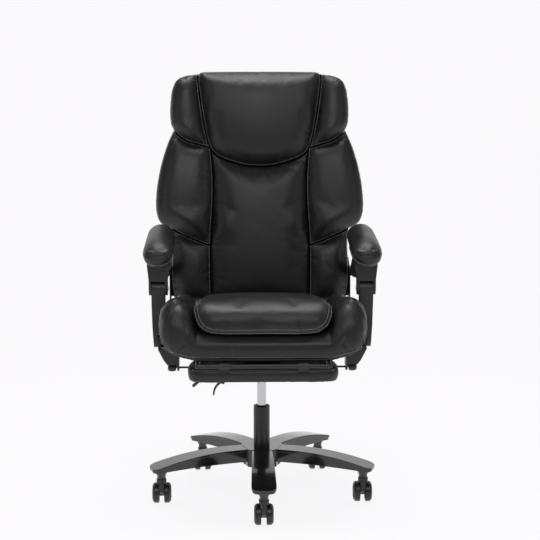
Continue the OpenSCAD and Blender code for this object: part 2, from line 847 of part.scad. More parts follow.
module seat_bolts() {
  color([0.3, 0.3, 0.32])
    for (x = [-bolt_x, bolt_x], y = [-bolt_y, bolt_y])
      bolt_up(x, y, board_z + board_t, flange_z);
}

// Arm brackets and the rod between them

lug_out_x = hinge_in_x;
lug_low_z = cross_rod_z + cross_rod_d / 2;
knob_in_x = lug_in_x + knob_d * 0.42;

module arm_bracket() {
  y0 = post_y - bracket_depth / 2;
  foot_t = hinge_t;
  ear_r = post_eye_r * 0.8;
  post_foot_z = pivot_z - post_eye_r - side_gap - run_gap;
  knob_room = knob_d / 2 + side_gap;
  difference() {
    union() {
      plate_xz(y0, bracket_depth)
        polygon([[foot_in_x, board_z - foot_t], [lug_in_x, board_z - foot_t],
             [lug_in_x, lug_low_z], [knob_in_x - side_gap, lug_low_z],
             [knob_in_x - side_gap, cross_rod_z + knob_room],
             [lug_out_x, cross_rod_z + knob_room],
             [lug_out_x + (ear_in_x - lug_out_x) * 0.5, board_z - knob_d],
             [ear_in_x + ear_t, post_foot_z - foot_t / 2],
             [ear_in_x + ear_t, post_foot_z], [ear_in_x, post_foot_z],
             [lug_out_x - foot_t, board_z - foot_t / 2],
             [lug_out_x - foot_t, board_z], [foot_in_x, board_z]]);
      plate_yz(ear_in_x, ear_t)
        union() {
          translate([post_y, pivot_z]) circle(r = ear_r);
          translate([post_y - ear_r, post_foot_z - foot_t / 2])
            square([2 * ear_r, pivot_z - post_foot_z + foot_t / 2]);
        }
      translate([lug_in_x, post_y - knob_d / 2, cross_rod_z - knob_d / 3])
        cube([ear_t, knob_d, lug_low_z - cross_rod_z + knob_d / 3]);
    }
    x_cylinder(lug_in_x - over, knob_in_x + over, post_y, cross_rod_z,
          cross_rod_d + 2 * run_gap);
    x_cylinder(ear_in_x - over, ear_in_x + ear_t + over, post_y, pivot_z,
          bolt_d + 2 * run_gap);
    translate([lug_in_x + foot_t, y0 + foot_t, cross_rod_z + knob_room + foot_t])
      cube([lug_out_x - lug_in_x - 2 * foot_t, bracket_depth - 2 * foot_t,
         board_z - cross_rod_z - knob_room - 2 * foot_t]);
  }
}

module arm_brackets() {
  color([0.06, 0.06, 0.062]) both_sides() arm_bracket();
}

module cross_rod() {
  reach = knob_in_x + knob_d * 0.7;
  color([0.08, 0.08, 0.08])
    x_cylinder(-reach, reach, post_y, cross_rod_z, cross_rod_d);
}

module rod_knobs() {
  w = knob_d;
  r = knob_d / 2;
  color([0.04, 0.04, 0.04])
    both_sides()
      translate([knob_in_x, post_y, cross_rod_z])
        rotate([0, 90, 0])
          difference() {
            rotate_extrude()
              polygon([[0, 0], [r * 0.7, 0], [r * 0.92, w * 0.1], [r, w * 0.3],
                   [r, w * 0.62], [r * 0.9, w * 0.84], [r * 0.62, w],
                   [0, w]]);
            translate([0, 0, -over])
              cylinder(h = w * 0.7 + over + run_gap, d = cross_rod_d + 2 * run_gap);
          }
}

// Recline hinge

module hinge_plate() {
  hinge_eye_r = pivot_d * 2.4;
  flange_in_x = board_half_w - hinge_eye_r * 1.6;
  disc_t = hinge_t * 1.4;
  hinge_front_y = recline_y - hinge_eye_r * 6.6;
  difference() {
    union() {
      plate_yz(hinge_in_x, hinge_t)
        union() {
          translate([recline_y, pivot_z]) circle(r = hinge_eye_r);
          polygon([[hinge_front_y, board_z - hinge_t],
               [recline_y, board_z - hinge_t],
               [recline_y + hinge_eye_r, pivot_z],
               [recline_y, pivot_z + hinge_eye_r],
               [recline_y - hinge_eye_r * 0.8, pivot_z + hinge_eye_r * 0.6],
               [hinge_front_y, board_z + hinge_t]]);
        }
      translate([flange_in_x, hinge_front_y, board_z - hinge_t])
        cube([hinge_in_x + hinge_t - flange_in_x, hinge_eye_r * 4.8, hinge_t]);
      x_cylinder(hinge_in_x - disc_t, hinge_in_x, recline_y, pivot_z, hinge_eye_r * 2.4);
      x_cylinder(hinge_in_x - disc_t - hinge_t / 2, hinge_in_x, recline_y, pivot_z,
            hinge_eye_r);
    }
    x_cylinder(hinge_in_x - 3 * disc_t, hinge_in_x + 2 * hinge_t, recline_y, pivot_z,
          pivot_d + 2 * run_gap);
  }
}

module hinge_plates() {
  color([0.09, 0.09, 0.095]) both_sides() hinge_plate();
}

// Bolt along X whose head is at x_head, on the outer side.
module side_bolt(x_in, x_head, y, z, d, head_t) {
  x_cylinder(x_in, x_head, y, z, d);
  x_cylinder(x_head, x_head + head_t, y, z, d * 1.8);
}

module pivot_bolts() {
  color([0.55, 0.55, 0.57])
    both_sides() {
      side_bolt(hinge_in_x - 2 * hinge_t, bracket_in_x + hinge_t + side_gap / 2, recline_y,
           pivot_z, pivot_d, hinge_t * 0.8);
      x_cylinder(ear_in_x - post_w * 0.3, ear_in_x + ear_t + post_w * 0.25, post_y,
            pivot_z, bolt_d);
    }
}

// Footrest

guide_front_y = post_y + bracket_depth / 2 + guide_wall;
guide_rear_y = guide_front_y + guide_pitch;

module footrest_guides() {
  r = slide_tube_d / 2;
  color([0.07, 0.07, 0.07])
    for (s = [-1, 1], y = [guide_front_y, guide_rear_y])
      translate([s * slide_half_w, y, 0])
        difference() {
          union() {
            translate([-r - guide_wall, 0, slide_tube_z])
              cube([2 * (r + guide_wall), guide_l, board_z - slide_tube_z]);
            y_cylinder(0, 0, guide_l, slide_tube_z, 2 * (r + guide_wall * 0.7));
            translate([-r - 3 * guide_wall, 0, board_z - guide_wall / 2])
              cube([2 * (r + 3 * guide_wall), guide_l, guide_wall / 2]);
          }
          y_cylinder(0, -over, guide_l + over, slide_tube_z,
                slide_tube_d + 2 * run_gap);
        }
}

tube_rear_y = guide_rear_y + guide_l + foot_travel + guide_wall;
flap_y = foot_front_y + side_gap;

module footrest_frame() {
  bore = slide_tube_d - 2 * column_wall;
  end_x = slide_half_w;
  color([0.12, 0.12, 0.125])
    difference() {
      union() {
        for (s = [-1, 1]) {
          y_cylinder(s * slide_half_w, flap_y, tube_rear_y, slide_tube_z,
                slide_tube_d);
          translate([s * end_x, flap_y, slide_tube_z]) sphere(d = slide_tube_d);
        }
        x_cylinder(-end_x, end_x, flap_y, slide_tube_z, slide_tube_d);
      }
      for (s = [-1, 1])
        y_cylinder(s * slide_half_w, flap_y + slide_tube_d, tube_rear_y + over,
              slide_tube_z, bore);
    }
}

panel_half_w = foot_half_w - slide_tube_d;
panel_front_y = foot_front_y + foot_panel_t;
panel_rear_y = foot_rear_y - foot_panel_t;
strap_x = slide_half_w * 0.6;

module footrest_panel() {
  r = slide_tube_d / 2;
  strap_r = slide_tube_z - foot_panel_z;
  color([0.1, 0.1, 0.1]) {
    translate([0, 0, foot_panel_z - foot_panel_t])
      linear_extrude(height = foot_panel_t)
        round_rect(-panel_half_w, panel_front_y, panel_half_w, panel_rear_y,
              foot_panel_t * 2);
    for (s = [-1, 1])
      difference() {
        union() {
          x_cylinder(s * strap_x - strap_w / 2, s * strap_x + strap_w / 2, flap_y,
                slide_tube_z, 2 * strap_r);
          translate([s * strap_x - strap_w / 2, flap_y, foot_panel_z - foot_panel_t])
            cube([strap_w, strap_r * 1.6, foot_panel_t + strap_r * 0.4]);
        }
        x_cylinder(s * strap_x - strap_w, s * strap_x + strap_w, flap_y, slide_tube_z,
              slide_tube_d + 2 * run_gap);
      }
  }
}

foot_plan_shares = [[-0.8, 0], [0, 0], [0.8, 0], [0.96, 0.05], [1, 0.25], [1, 0.75], [0.96, 0.95],
          [0.8, 1], [0, 1], [-0.8, 1], [-0.96, 0.95], [-1, 0.75], [-1, 0.25],
          [-0.96, 0.05]];
foot_profile_shares = [[0.3, 0], [0.05, 0.15], [0, 0.35], [0.12, 0.6], [0.4, 0.85], [1, 1]];

module footrest_pad() {
  plan = moved(scaled(rounded(foot_plan_shares, 1), foot_half_w, foot_rear_y - foot_front_y),
         0, foot_front_y);
  depth = foot_panel_z - foot_under_z;
  crown = depth * 0.08;
  strap_r = slide_tube_z - foot_panel_z + soft_gap;
  color([0.05, 0.05, 0.052])
    difference() {
      translate([0, 0, foot_panel_z])
        mirror([0, 0, 1])
          pad(plan, depth - crown, foot_panel_t * 4, foot_profile_shares, crown);
      translate([-panel_half_w - soft_gap, panel_front_y - soft_gap,
            foot_panel_z - foot_panel_t - soft_gap])
        cube([2 * (panel_half_w + soft_gap), panel_rear_y - panel_front_y + 2 * soft_gap,
           foot_panel_t + over + soft_gap]);
      for (s = [-1, 1])
        translate([s * strap_x - strap_w / 2 - soft_gap, foot_front_y - over,
              foot_panel_z - foot_panel_t - soft_gap])
          cube([strap_w + 2 * soft_gap, strap_r * 2, foot_panel_t + over + soft_gap]);
    }
}

// Backrest

// Moves children from the frame of the back board, whose front is y = 0, to its place.
module on_back() {
  translate([0, back_foot_y, back_foot_z]) rotate([-back_lean, 0, 0]) children();
}

// Local y and z on the back of a point given by its Y and Z.
function back_yz(y, z) = [
  (y - back_foot_y) * cos(back_lean) - (z - back_foot_z) * sin(back_lean),
  (y - back_foot_y) * sin(back_lean) + (z - back_foot_z) * cos(back_lean)
];

board_shares = [[0.72, 0], [0.86, 0.1], [0.86, 0.9], [0.8, 0.97], [-0.8, 0.97], [-0.86, 0.9],
        [-0.86, 0.1], [-0.72, 0]];

module back_board() {
  color([0.62, 0.47, 0.3])
    on_back()
      translate([0, back_board_t, 0])
        rotate([90, 0, 0])
          linear_extrude(height = back_board_t)
            polygon(scaled(board_shares, head_half_w, back_h));
}

cover_shares = [[-0.74, 0.01], [0, 0.005], [0.74, 0.01], [0.9, 0.06], [0.94, 0.2], [1, 0.34],
        [1, 0.6], [0.95, 0.74], [0.93, 0.94], [0.82, 0.99], [0, 1], [-0.82, 0.99],
        [-0.93, 0.94], [-0.95, 0.74], [-1, 0.6], [-1, 0.34], [-0.94, 0.2],
        [-0.9, 0.06]];
cover_profile_shares = [[0, 0], [0, 0.3], [0.25, 0.7], [1, 1]];

module back_cover() {
  plan = scaled(rounded(cover_shares, 1), head_half_w * 1.01, back_h);
  crown = back_cover_t * 0.3;
  color([0.05, 0.05, 0.052])
    difference() {
      on_back()
        translate([0, back_board_t + soft_gap, 0])
          mirror([0, 1, 0])
            rotate([90, 0, 0])
              pad(plan, back_cover_t - crown, back_cover_t, cover_profile_shares,
                crown);
      on_back()
        for (s = [-1, 1])
          translate([s > 0 ? strap_in_x - soft_gap : -bracket_in_x - 2 * hinge_t, 0,
                strap_low - soft_gap])
            cube([bracket_in_x + 2 * hinge_t + soft_gap - strap_in_x,
               back_board_t + hinge_t + soft_gap,
               strap_high - strap_low + 2 * soft_gap]);
    }
}

// Padded form on the front of the back board, its outline in x and height on the back.
module back_pad(pts, depth, edge, profile_shares, crown_share, tilt = [0, 0]) {
  crown = depth * crown_share;
  color([0.05, 0.05, 0.052])
    on_back()
      translate([0, -soft_gap, 0])
        rotate([90, 0, 0])
          pad(pts, depth - crown, edge, profile_shares, crown, tilt);
}

centre_shares = [[-0.97, 0.004], [0, 0], [0.97, 0.004], [1, 0.05], [1, 0.22], [0.93, 0.4],
         [0.97, 0.58], [1, 0.685], [0.72, 0.645], [0.3, 0.612], [0, 0.605],
         [-0.3, 0.612], [-0.72, 0.645], [-1, 0.685], [-0.97, 0.58], [-0.93, 0.4],
         [-1, 0.22], [-1, 0.05]];

module back_centre() {
  plan = scaled(rounded(centre_shares, 1), centre_half_w, back_h);
  back_pad(plan, centre_depth, back_edge, cushion_profile_shares, 0.1);
}

headrest_shares = [[-0.93, 1], [-0.98, 0.985], [-0.99, 0.9], [-0.9, 0.8], [-0.84, 0.72],
          [-0.8, 0.692], [-0.6, 0.656], [-0.28, 0.624], [0, 0.615], [0.28, 0.624],
          [0.6, 0.656], [0.8, 0.692], [0.84, 0.72], [0.9, 0.8], [0.99, 0.9],
          [0.98, 0.985], [0.93, 1], [0, 1]];

module headrest() {
  plan = scaled(rounded(headrest_shares, 1), headrest_half_w - seam_gap, back_h);
  lifted = [for (p = plan) [p[0], p[1] + seam_gap]];
  back_pad(lifted, headrest_depth, back_edge, cushion_profile_shares, 0.1);
}

// Outlines of the left pieces; x in shares of the half width, height in shares of the back.
head_wing_shares = [[0.71, 0.985], [0.7, 0.9], [0.645, 0.8], [0.61, 0.72], [0.58, 0.668],
          [0.7, 0.686], [0.83, 0.702], [0.95, 0.742], [0.995, 0.78], [1, 0.85],
          [1, 0.92], [0.985, 0.965], [0.93, 0.985]];
back_wing_shares = [[0.5, 0.662], [0.475, 0.58], [0.46, 0.4], [0.49, 0.25], [0.665, 0.28],
          [0.83, 0.313], [0.95, 0.343], [0.995, 0.385], [1, 0.44], [0.99, 0.51],
          [0.95, 0.6], [0.9, 0.675], [0.835, 0.735], [0.71, 0.695], [0.6, 0.678]];
bolster_shares = [[0.585, 0.238], [0.585, 0.2], [0.585, 0.04], [0.62, 0.005], [0.8, 0.005],
         [0.94, 0.03], [1, 0.12], [0.99, 0.22], [0.965, 0.3], [0.86, 0.285],
         [0.79, 0.272], [0.68, 0.254]];
side_profile_shares = [[0.35, 0], [0.12, 0.14], [0, 0.34], [0.04, 0.54], [0.2, 0.74],
            [0.5, 0.9], [1, 1]];

module head_wing() {
  plan = scaled(rounded(head_wing_shares, 1), head_half_w, back_h);
  back_pad(plan, wing_depth, back_edge * 0.8, side_profile_shares, 0.1, [-0.1, 0]);
}

module back_wing() {
  plan = scaled(rounded(back_wing_shares, 1), wing_half_w, back_h);
  back_pad(plan, wing_depth, back_edge, side_profile_shares, 0.14, [-0.06, 0]);
}

module lower_bolster() {
  plan = scaled(rounded(bolster_shares, 1), bolster_half_w, back_h);
  back_pad(plan, centre_depth * 1.08, back_edge * 0.8, side_profile_shares, 0.1);
}

module head_wing_l() { head_wing(); }
module head_wing_r() { right_side() head_wing(); }
module back_wing_l() { back_wing(); }
module back_wing_r() { right_side() back_wing(); }
module lower_bolster_l() { lower_bolster(); }
module lower_bolster_r() { right_side() lower_bolster(); }

module back_bracket() {
  low = back_yz(recline_y, pivot_z);
  high = back_yz(recline_y, knuckle_z);
  low_r = pivot_d * 2.2;
  high_r = pivot_d * 1.7;
  difference() {
    union() {
      plate_yz(bracket_in_x, hinge_t)
        union() {
          translate(low) circle(r = low_r);
          translate(high) circle(r = high_r);
          polygon([[low[0] - low_r, low[1]], [low[0] + low_r, low[1]],
               [back_board_t + hinge_t, strap_low],
               [back_board_t + hinge_t, strap_high],
               [high[0] + high_r * 0.6, high[1] + high_r * 0.8],
               [high[0] - high_r, high[1]]]);
        }
      translate([strap_in_x, back_board_t, strap_low])
        cube([bracket_in_x + hinge_t - strap_in_x, hinge_t, strap_high - strap_low]);
      translate([0, high[0], high[1]])
        x_cylinder(bracket_in_x, rail_in_x + rail_t + 2 * side_gap, 0, 0, bolt_d);
      translate([0, high[0], high[1]])
        x_cylinder(rail_in_x + rail_t + 2 * side_gap,
              rail_in_x + rail_t + 2 * side_gap + hinge_t * 0.75, 0, 0,
              bolt_d * 2);
    }
    translate([0, low[0], low[1]])
      x_cylinder(bracket_in_x - over, bracket_in_x + hinge_t + over, 0, 0,
            pivot_d + 2 * run_gap);
  }
}

module back_brackets() {
  color([0.09, 0.09, 0.095]) on_back() both_sides() back_bracket();
}

// Armrests

module post() {
  out_x = post_in_x + post_w;
  difference() {
    intersection() {
      plate_xz(post_y - post_depth, 2 * post_depth)
        polygon([[post_in_x, pivot_z - post_eye_r],
             [out_x - post_taper, pivot_z - post_eye_r],
             [out_x - post_taper * 0.3, pivot_z + link_l * 0.3],
             [out_x, pivot_z + link_l * 0.7], [out_x, knuckle_z + post_eye_r],
             [post_in_x, knuckle_z + post_eye_r]]);
      plate_yz(post_in_x - over, post_w + 2 * over)
        union() {
          translate([post_y, pivot_z]) circle(r = post_eye_r);
          translate([post_y, knuckle_z]) circle(r = post_eye_r);
          polygon([[post_y - post_eye_r, pivot_z], [post_y + post_eye_r, pivot_z],
               [post_y + post_eye_r * 0.85, pivot_z + link_l / 2],
               [post_y + post_eye_r, knuckle_z], [post_y - post_eye_r, knuckle_z],
               [post_y - post_eye_r * 0.85, pivot_z + link_l / 2]]);
        }
    }
    plate_yz(ear_in_x - side_gap, ear_t + 2 * side_gap)
      translate([post_y - post_depth, pivot_z - post_depth])
        square([2 * post_depth, post_depth + post_eye_r]);
    x_cylinder(ear_in_x - post_w * 0.3 - side_gap, ear_in_x + ear_t + post_w * 0.25 + side_gap,
          post_y, pivot_z, bolt_d + 2 * run_gap);
    x_cylinder(post_in_x - over, out_x + over, post_y, knuckle_z, bolt_d + 2 * run_gap);
  }
}

module post_l() { color([0.08, 0.08, 0.082]) post(); }
module post_r() { color([0.08, 0.08, 0.082]) right_side() post(); }

module knuckle_pin() {
  head_t = bolt_d * 0.3;
  in_x = post_in_x - side_gap - cheek_t;
  x_cylinder(in_x, post_in_x + post_w + side_gap + cheek_t * 0.7, post_y, knuckle_z, bolt_d);
  x_cylinder(in_x - head_t, in_x, post_y, knuckle_z, bolt_d * 1.8);
}

module knuckle_pin_l() { color([0.6, 0.6, 0.62]) knuckle_pin(); }
module knuckle_pin_r() { color([0.6, 0.6, 0.62]) right_side() knuckle_pin(); }

// Frame of an arm pad: its underside is z = 0, its origin over the post.
module on_arm() {
  translate([arm_mid_x, post_y, arm_tray_z]) rotate([arm_slope, 0, 0]) children();
}

tray_half_w = arm_pad_w * 0.38;
tray_front = -arm_pad_l * 0.1;
tray_rear = arm_pad_l * 0.66;
neck_z = knuckle_z + post_eye_r + open_pivot_gap;

module arm_rail() {
  in_x = post_in_x - side_gap;
  out_x = post_in_x + post_w + side_gap;
  rail_high = knuckle_z + link_l * 0.36;
  difference() {
    union() {
      for (x = [in_x - cheek_t, out_x])
        plate_yz(x, cheek_t)
          union() {
            translate([post_y, knuckle_z]) circle(r = post_eye_r);
            translate([post_y - post_eye_r, knuckle_z])
              square([post_depth, neck_z + tray_t - knuckle_z]);
          }
      translate([in_x - cheek_t, post_y - post_eye_r, neck_z])
        cube([out_x - in_x + 2 * cheek_t, post_depth, tray_t]);
      plate_xz(post_y - post_eye_r, post_depth)
        polygon([[in_x - cheek_t, neck_z + tray_t / 2],
             [out_x + cheek_t, neck_z + tray_t / 2],
             [arm_mid_x + tray_half_w, arm_tray_z - tray_t],
             [arm_mid_x - tray_half_w, arm_tray_z - tray_t]]);
      on_arm()
        translate([0, 0, -tray_t])
          linear_extrude(height = tray_t)
            round_rect(-tray_half_w, tray_front, tray_half_w, tray_rear,
                  tray_half_w * 0.6);
      plate_yz(rail_in_x, rail_t)
        difference() {
          union() {
            translate([recline_y, knuckle_z]) circle(r = pivot_d * 1.5);
            polygon([[post_y + post_eye_r * 0.5, neck_z + tray_t],
                 [post_y + post_eye_r * 0.5, neck_z],
                 [recline_y - link_l * 0.8, knuckle_z - link_l * 0.02],
                 [recline_y, knuckle_z - pivot_d * 1.5],
                 [recline_y + pivot_d, knuckle_z + pivot_d],
                 [recline_y - link_l * 0.38, rail_high * 0.99],
                 [recline_y - link_l * 0.8, rail_high + tray_t * 3],
                 [recline_y - link_l * 1.2, rail_high + tray_t * 2.2]]);
          }
          translate([recline_y, knuckle_z])
            circle(d = bolt_d + 2 * open_pivot_gap);
        }
    }
    x_cylinder(in_x - cheek_t - over, out_x + cheek_t * 0.7 + side_gap, post_y, knuckle_z,
          bolt_d + 2 * run_gap);
  }
}

module arm_rail_l() { color([0.08, 0.08, 0.082]) arm_rail(); }
module arm_rail_r() { color([0.08, 0.08, 0.082]) right_side() arm_rail(); }

arm_plan_shares = [[-0.7, 0], [0, -0.01], [0.7, 0], [0.98, 0.06], [1, 0.2], [1, 0.5], [0.96, 0.85],
          [0.7, 0.98], [0, 1], [-0.7, 0.98], [-0.96, 0.85], [-1, 0.5], [-1, 0.2],
          [-0.98, 0.06]];
arm_front_share = 0.29;

module arm_pad() {
  plan = moved(scaled(rounded(arm_plan_shares, 1), arm_pad_w / 2, arm_pad_l), 0,
         -arm_pad_l * arm_front_share);
  crown = arm_pad_t * 0.1;
  on_arm()
    translate([0, 0, soft_gap])
      pad(plan, arm_pad_t - crown, arm_pad_t / 2, cushion_profile_shares, crown);
}

module arm_pad_l() { color([0.05, 0.05, 0.052]) arm_pad(); }
module arm_pad_r() { color([0.05, 0.05, 0.052]) right_side() arm_pad(); }

// Casters

// Stands at the foot of caster i, with the axle along X behind the stem.
module at_caster(i) {
  a = leg_angles[i];
  translate([caster_circle_r * cos(a), caster_circle_r * sin(a), 0]) children();
}

collar_low_z = wheel_d + side_gap;
collar_cone_h = caster_collar_d * 0.15;
stem_foot_z = wheel_r * 1.72;
caster_lip_z = caster_top_z - side_gap;

module caster_housing(i) {
  web = caster_web_w / 2;
  boss_r = axle_d;
  color([0.06, 0.06, 0.062])
    at_caster(i)
      difference() {
        union() {
          translate([0, 0, collar_low_z + collar_cone_h])
            cylinder(h = caster_lip_z - collar_low_z - collar_cone_h,
                 d = caster_collar_d);
          translate([0, 0, collar_low_z])
            cylinder(h = collar_cone_h, r1 = web * 1.2, d2 = caster_collar_d);
          plate_yz(-web, caster_web_w)
            union() {
              translate([caster_trail, wheel_r]) circle(r = boss_r * 1.3);
              polygon([[-caster_collar_d * 0.36, collar_low_z + collar_cone_h],
                   [-caster_collar_d * 0.3, wheel_r * 1.2],
                   [caster_trail - boss_r, wheel_r - boss_r * 0.7],
                   [caster_trail + boss_r * 1.2, wheel_r + boss_r * 0.4],
                   [caster_trail + boss_r * 1.1, wheel_r * 1.35],
                   [caster_collar_d * 0.42, collar_low_z + collar_cone_h]]);
            }
        }
        x_cylinder(-web - over, web + over, caster_trail, wheel_r,
              axle_d + 2 * run_gap);
        translate([0, 0, stem_foot_z])
          cylinder(h = caster_top_z, d = stem_d + 2 * run_gap);
      }
}

module caster_pins(i) {
  color([0.6, 0.6, 0.62])
    at_caster(i) {
      translate([0, 0, stem_foot_z]) cylinder(h = stem_top_z - stem_foot_z, d = stem_d);
      x_cylinder(-axle_len / 2, axle_len / 2, caster_trail, wheel_r, axle_d);
    }
}

module caster_wheels(i) {
  r = wheel_r;
  w = wheel_w;
  inner_x = caster_web_w / 2 + side_gap;
  bore = axle_d / 2 + run_gap;
  depth = axle_len / 2 - inner_x + side_gap;
  color([0.05, 0.05, 0.05])
    at_caster(i)
      translate([0, caster_trail, r])
        both_sides()
          translate([inner_x, 0, 0])
            rotate([0, 90, 0])
              rotate_extrude()
                polygon([[bore, 0], [r * 0.42, 0], [r * 0.42, w * 0.2],
                     [r * 0.86, w * 0.2], [r * 0.86, 0], [r * 0.97, 0],
                     [r, w * 0.08], [r, w * 0.62], [r * 0.93, w * 0.82],
                     [r * 0.78, w * 0.97], [r * 0.72, w],
                     [r * 0.66, w * 0.86], [r * 0.34, w * 0.86],
                     [r * 0.28, w], [0, w], [0, depth], [bore, depth]]);
}

module caster_housing_1() { caster_housing(0); }
module caster_housing_2() { caster_housing(1); }
module caster_housing_3() { caster_housing(2); }
module caster_housing_4() { caster_housing(3); }
module caster_housing_5() { caster_housing(4); }
module caster_pins_1() { caster_pins(0); }
module caster_pins_2() { caster_pins(1); }
module caster_pins_3() { caster_pins(2); }
module caster_pins_4() { caster_pins(3); }
module caster_pins_5() { caster_pins(4); }
module caster_wheels_1() { caster_wheels(0); }
module caster_wheels_2() { caster_wheels(1); }
module caster_wheels_3() { caster_wheels(2); }
module caster_wheels_4() { caster_wheels(3); }
module caster_wheels_5() { caster_wheels(4); }

star_base();
column_tube();
column_bush();
thrust_bearing();
piston_rod();
retaining_clip();
gas_cylinder();
release_pin();
mechanism_housing();
height_lever();
height_grip();
recline_lever();
recline_grip();
seat_board();
seat_cushion();
seat_top_pad();
seat_bolts();
arm_brackets();
cross_rod();
rod_knobs();
hinge_plates();
pivot_bolts();
footrest_guides();
footrest_frame();
footrest_panel();
footrest_pad();
back_board();
back_cover();
back_centre();
headrest();
head_wing_r();
head_wing_l();
back_wing_r();
back_wing_l();
lower_bolster_r();
lower_bolster_l();
back_brackets();
post_r();
post_l();
knuckle_pin_r();
knuckle_pin_l();
arm_rail_r();
arm_rail_l();
arm_pad_r();
arm_pad_l();
caster_housing_1();
caster_housing_2();
caster_housing_3();
caster_housing_4();
caster_housing_5();
caster_pins_1();
caster_pins_2();
caster_pins_3();
caster_pins_4();
caster_pins_5();
caster_wheels_1();
caster_wheels_2();
caster_wheels_3();
caster_wheels_4();
caster_wheels_5();
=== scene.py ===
# Looks of the reclining office chair: leather covers, stitching, finishes, lights and camera.
# Places are in metres; outlines and sections of cushions are in millimetres.
import json
import math
import bmesh
import bpy
import numpy as np
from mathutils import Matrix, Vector
from mathutils.geometry import delaunay_2d_cdt

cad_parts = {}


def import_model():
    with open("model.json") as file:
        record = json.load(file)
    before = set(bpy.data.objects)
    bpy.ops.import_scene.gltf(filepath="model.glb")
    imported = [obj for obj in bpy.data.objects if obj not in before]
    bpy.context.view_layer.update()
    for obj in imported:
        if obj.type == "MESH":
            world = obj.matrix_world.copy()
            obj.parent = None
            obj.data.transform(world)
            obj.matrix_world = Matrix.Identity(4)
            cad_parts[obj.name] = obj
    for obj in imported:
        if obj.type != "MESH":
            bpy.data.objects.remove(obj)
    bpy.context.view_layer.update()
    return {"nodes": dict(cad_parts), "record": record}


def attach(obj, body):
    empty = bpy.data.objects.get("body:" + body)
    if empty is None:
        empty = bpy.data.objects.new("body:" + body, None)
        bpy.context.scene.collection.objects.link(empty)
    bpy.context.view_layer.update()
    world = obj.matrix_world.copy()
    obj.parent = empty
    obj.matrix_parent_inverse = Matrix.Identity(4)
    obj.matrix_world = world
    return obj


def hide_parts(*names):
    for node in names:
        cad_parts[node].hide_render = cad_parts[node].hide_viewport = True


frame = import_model()
MM = 0.001

# Camera, set to the photograph's view
CAMERA_AT = (-0.0840, -4.1914, 1.2769)
LENS = 92.48
SENSOR_WIDTH = 36.0
PITCH = 0.1360
TURN = math.radians(-1.5)
camera_data = bpy.data.cameras.new("camera")
camera_data.lens = LENS
camera_data.sensor_width = SENSOR_WIDTH
camera_data.dof.use_dof = False
camera = bpy.data.objects.new("camera", camera_data)
camera.location = CAMERA_AT
camera.rotation_euler = (math.pi / 2 - PITCH, 0.0, TURN)
bpy.context.collection.objects.link(camera)
bpy.context.scene.camera = camera


# Materials
def new_group(name, inputs, outputs):
    group = bpy.data.node_groups.new(name, "ShaderNodeTree")
    for label, kind, value in inputs:
        socket = group.interface.new_socket(label, in_out="INPUT", socket_type=kind)
        socket.default_value = value
    for label, kind in outputs:
        group.interface.new_socket(label, in_out="OUTPUT", socket_type=kind)
    return group, group.nodes.new("NodeGroupInput"), group.nodes.new("NodeGroupOutput")


def add(tree, kind, links=(), **values):
    """A node with its settings, its constant inputs (as i_Name) and its links."""
    node = tree.nodes.new(kind)
    for key, value in values.items():
        if key.startswith("i_"):
            node.inputs[key[2:].replace("_", " ")].default_value = value
        else:
            setattr(node, key, value)
    for target, source in links:
        tree.links.new(source, node.inputs[target])
    return node


def math_node(tree, operation, a, b):
    node = tree.nodes.new("ShaderNodeMath")
    node.operation = operation
    for index, value in enumerate((a, b)):
        if isinstance(value, (int, float)):
            node.inputs[index].default_value = value
        else:
            tree.links.new(value, node.inputs[index])
    return node.outputs[0]


def grain_group():
    """Leather grain: pebbles with creases between them, and slow hills."""
    group, source, sink = new_group(
        "leather_grain",
        [("Scale", "NodeSocketFloat", 620.0), ("Creases", "NodeSocketFloat", 0.5)],
        [("Height", "NodeSocketFloat"), ("Patch", "NodeSocketFloat")])
    coords = add(group, "ShaderNodeTexCoord")
    warp = add(group, "ShaderNodeTexNoise", i_Scale=90.0, i_Detail=2.0,
               links=[("Vector", coords.outputs["Object"])])
    bend = add(group, "ShaderNodeVectorMath", operation="MULTIPLY_ADD",
               links=[(0, warp.outputs["Color"]), (2, coords.outputs["Object"])])
    bend.inputs[1].default_value = (0.004, 0.004, 0.004)
    pebbles = add(group, "ShaderNodeTexVoronoi", feature="DISTANCE_TO_EDGE",
                  links=[("Vector", bend.outputs[0]), ("Scale", source.outputs["Scale"])])
    ramp = add(group, "ShaderNodeMapRange", links=[("Value", pebbles.outputs["Distance"])])
    ramp.inputs["From Max"].default_value = 0.28
    hills = add(group, "ShaderNodeTexNoise", i_Scale=34.0, i_Detail=5.0, i_Roughness=0.55,
                links=[("Vector", coords.outputs["Object"])])
    patch = add(group, "ShaderNodeTexNoise", i_Scale=7.0, i_Detail=3.0,
                links=[("Vector", coords.outputs["Object"])])
    slow = math_node(group, "MULTIPLY", hills.outputs["Fac"], source.outputs["Creases"])
    total = math_node(group, "ADD", math_node(group, "MULTIPLY", ramp.outputs[0], 0.35), slow)
    group.links.new(total, sink.inputs["Height"])
    group.links.new(patch.outputs["Fac"], sink.inputs["Patch"])
    return group


def speckle_group():
    """Fine moulded or sprayed surface, with slow patches for wear."""
    group, source, sink = new_group(
        "speckle",
        [("Scale", "NodeSocketFloat", 900.0)],
        [("Height", "NodeSocketFloat"), ("Patch", "NodeSocketFloat")])
    coords = add(group, "ShaderNodeTexCoord")
    fine = add(group, "ShaderNodeTexNoise", i_Detail=3.0,
               links=[("Vector", coords.outputs["Object"]), ("Scale", source.outputs["Scale"])])
    patch = add(group, "ShaderNodeTexNoise", i_Scale=22.0, i_Detail=6.0, i_Roughness=0.65,
                links=[("Vector", coords.outputs["Object"])])
    group.links.new(fine.outputs["Fac"], sink.inputs["Height"])
    group.links.new(patch.outputs["Fac"], sink.inputs["Patch"])
    return group


GRAIN = grain_group()
SPECKLE = speckle_group()
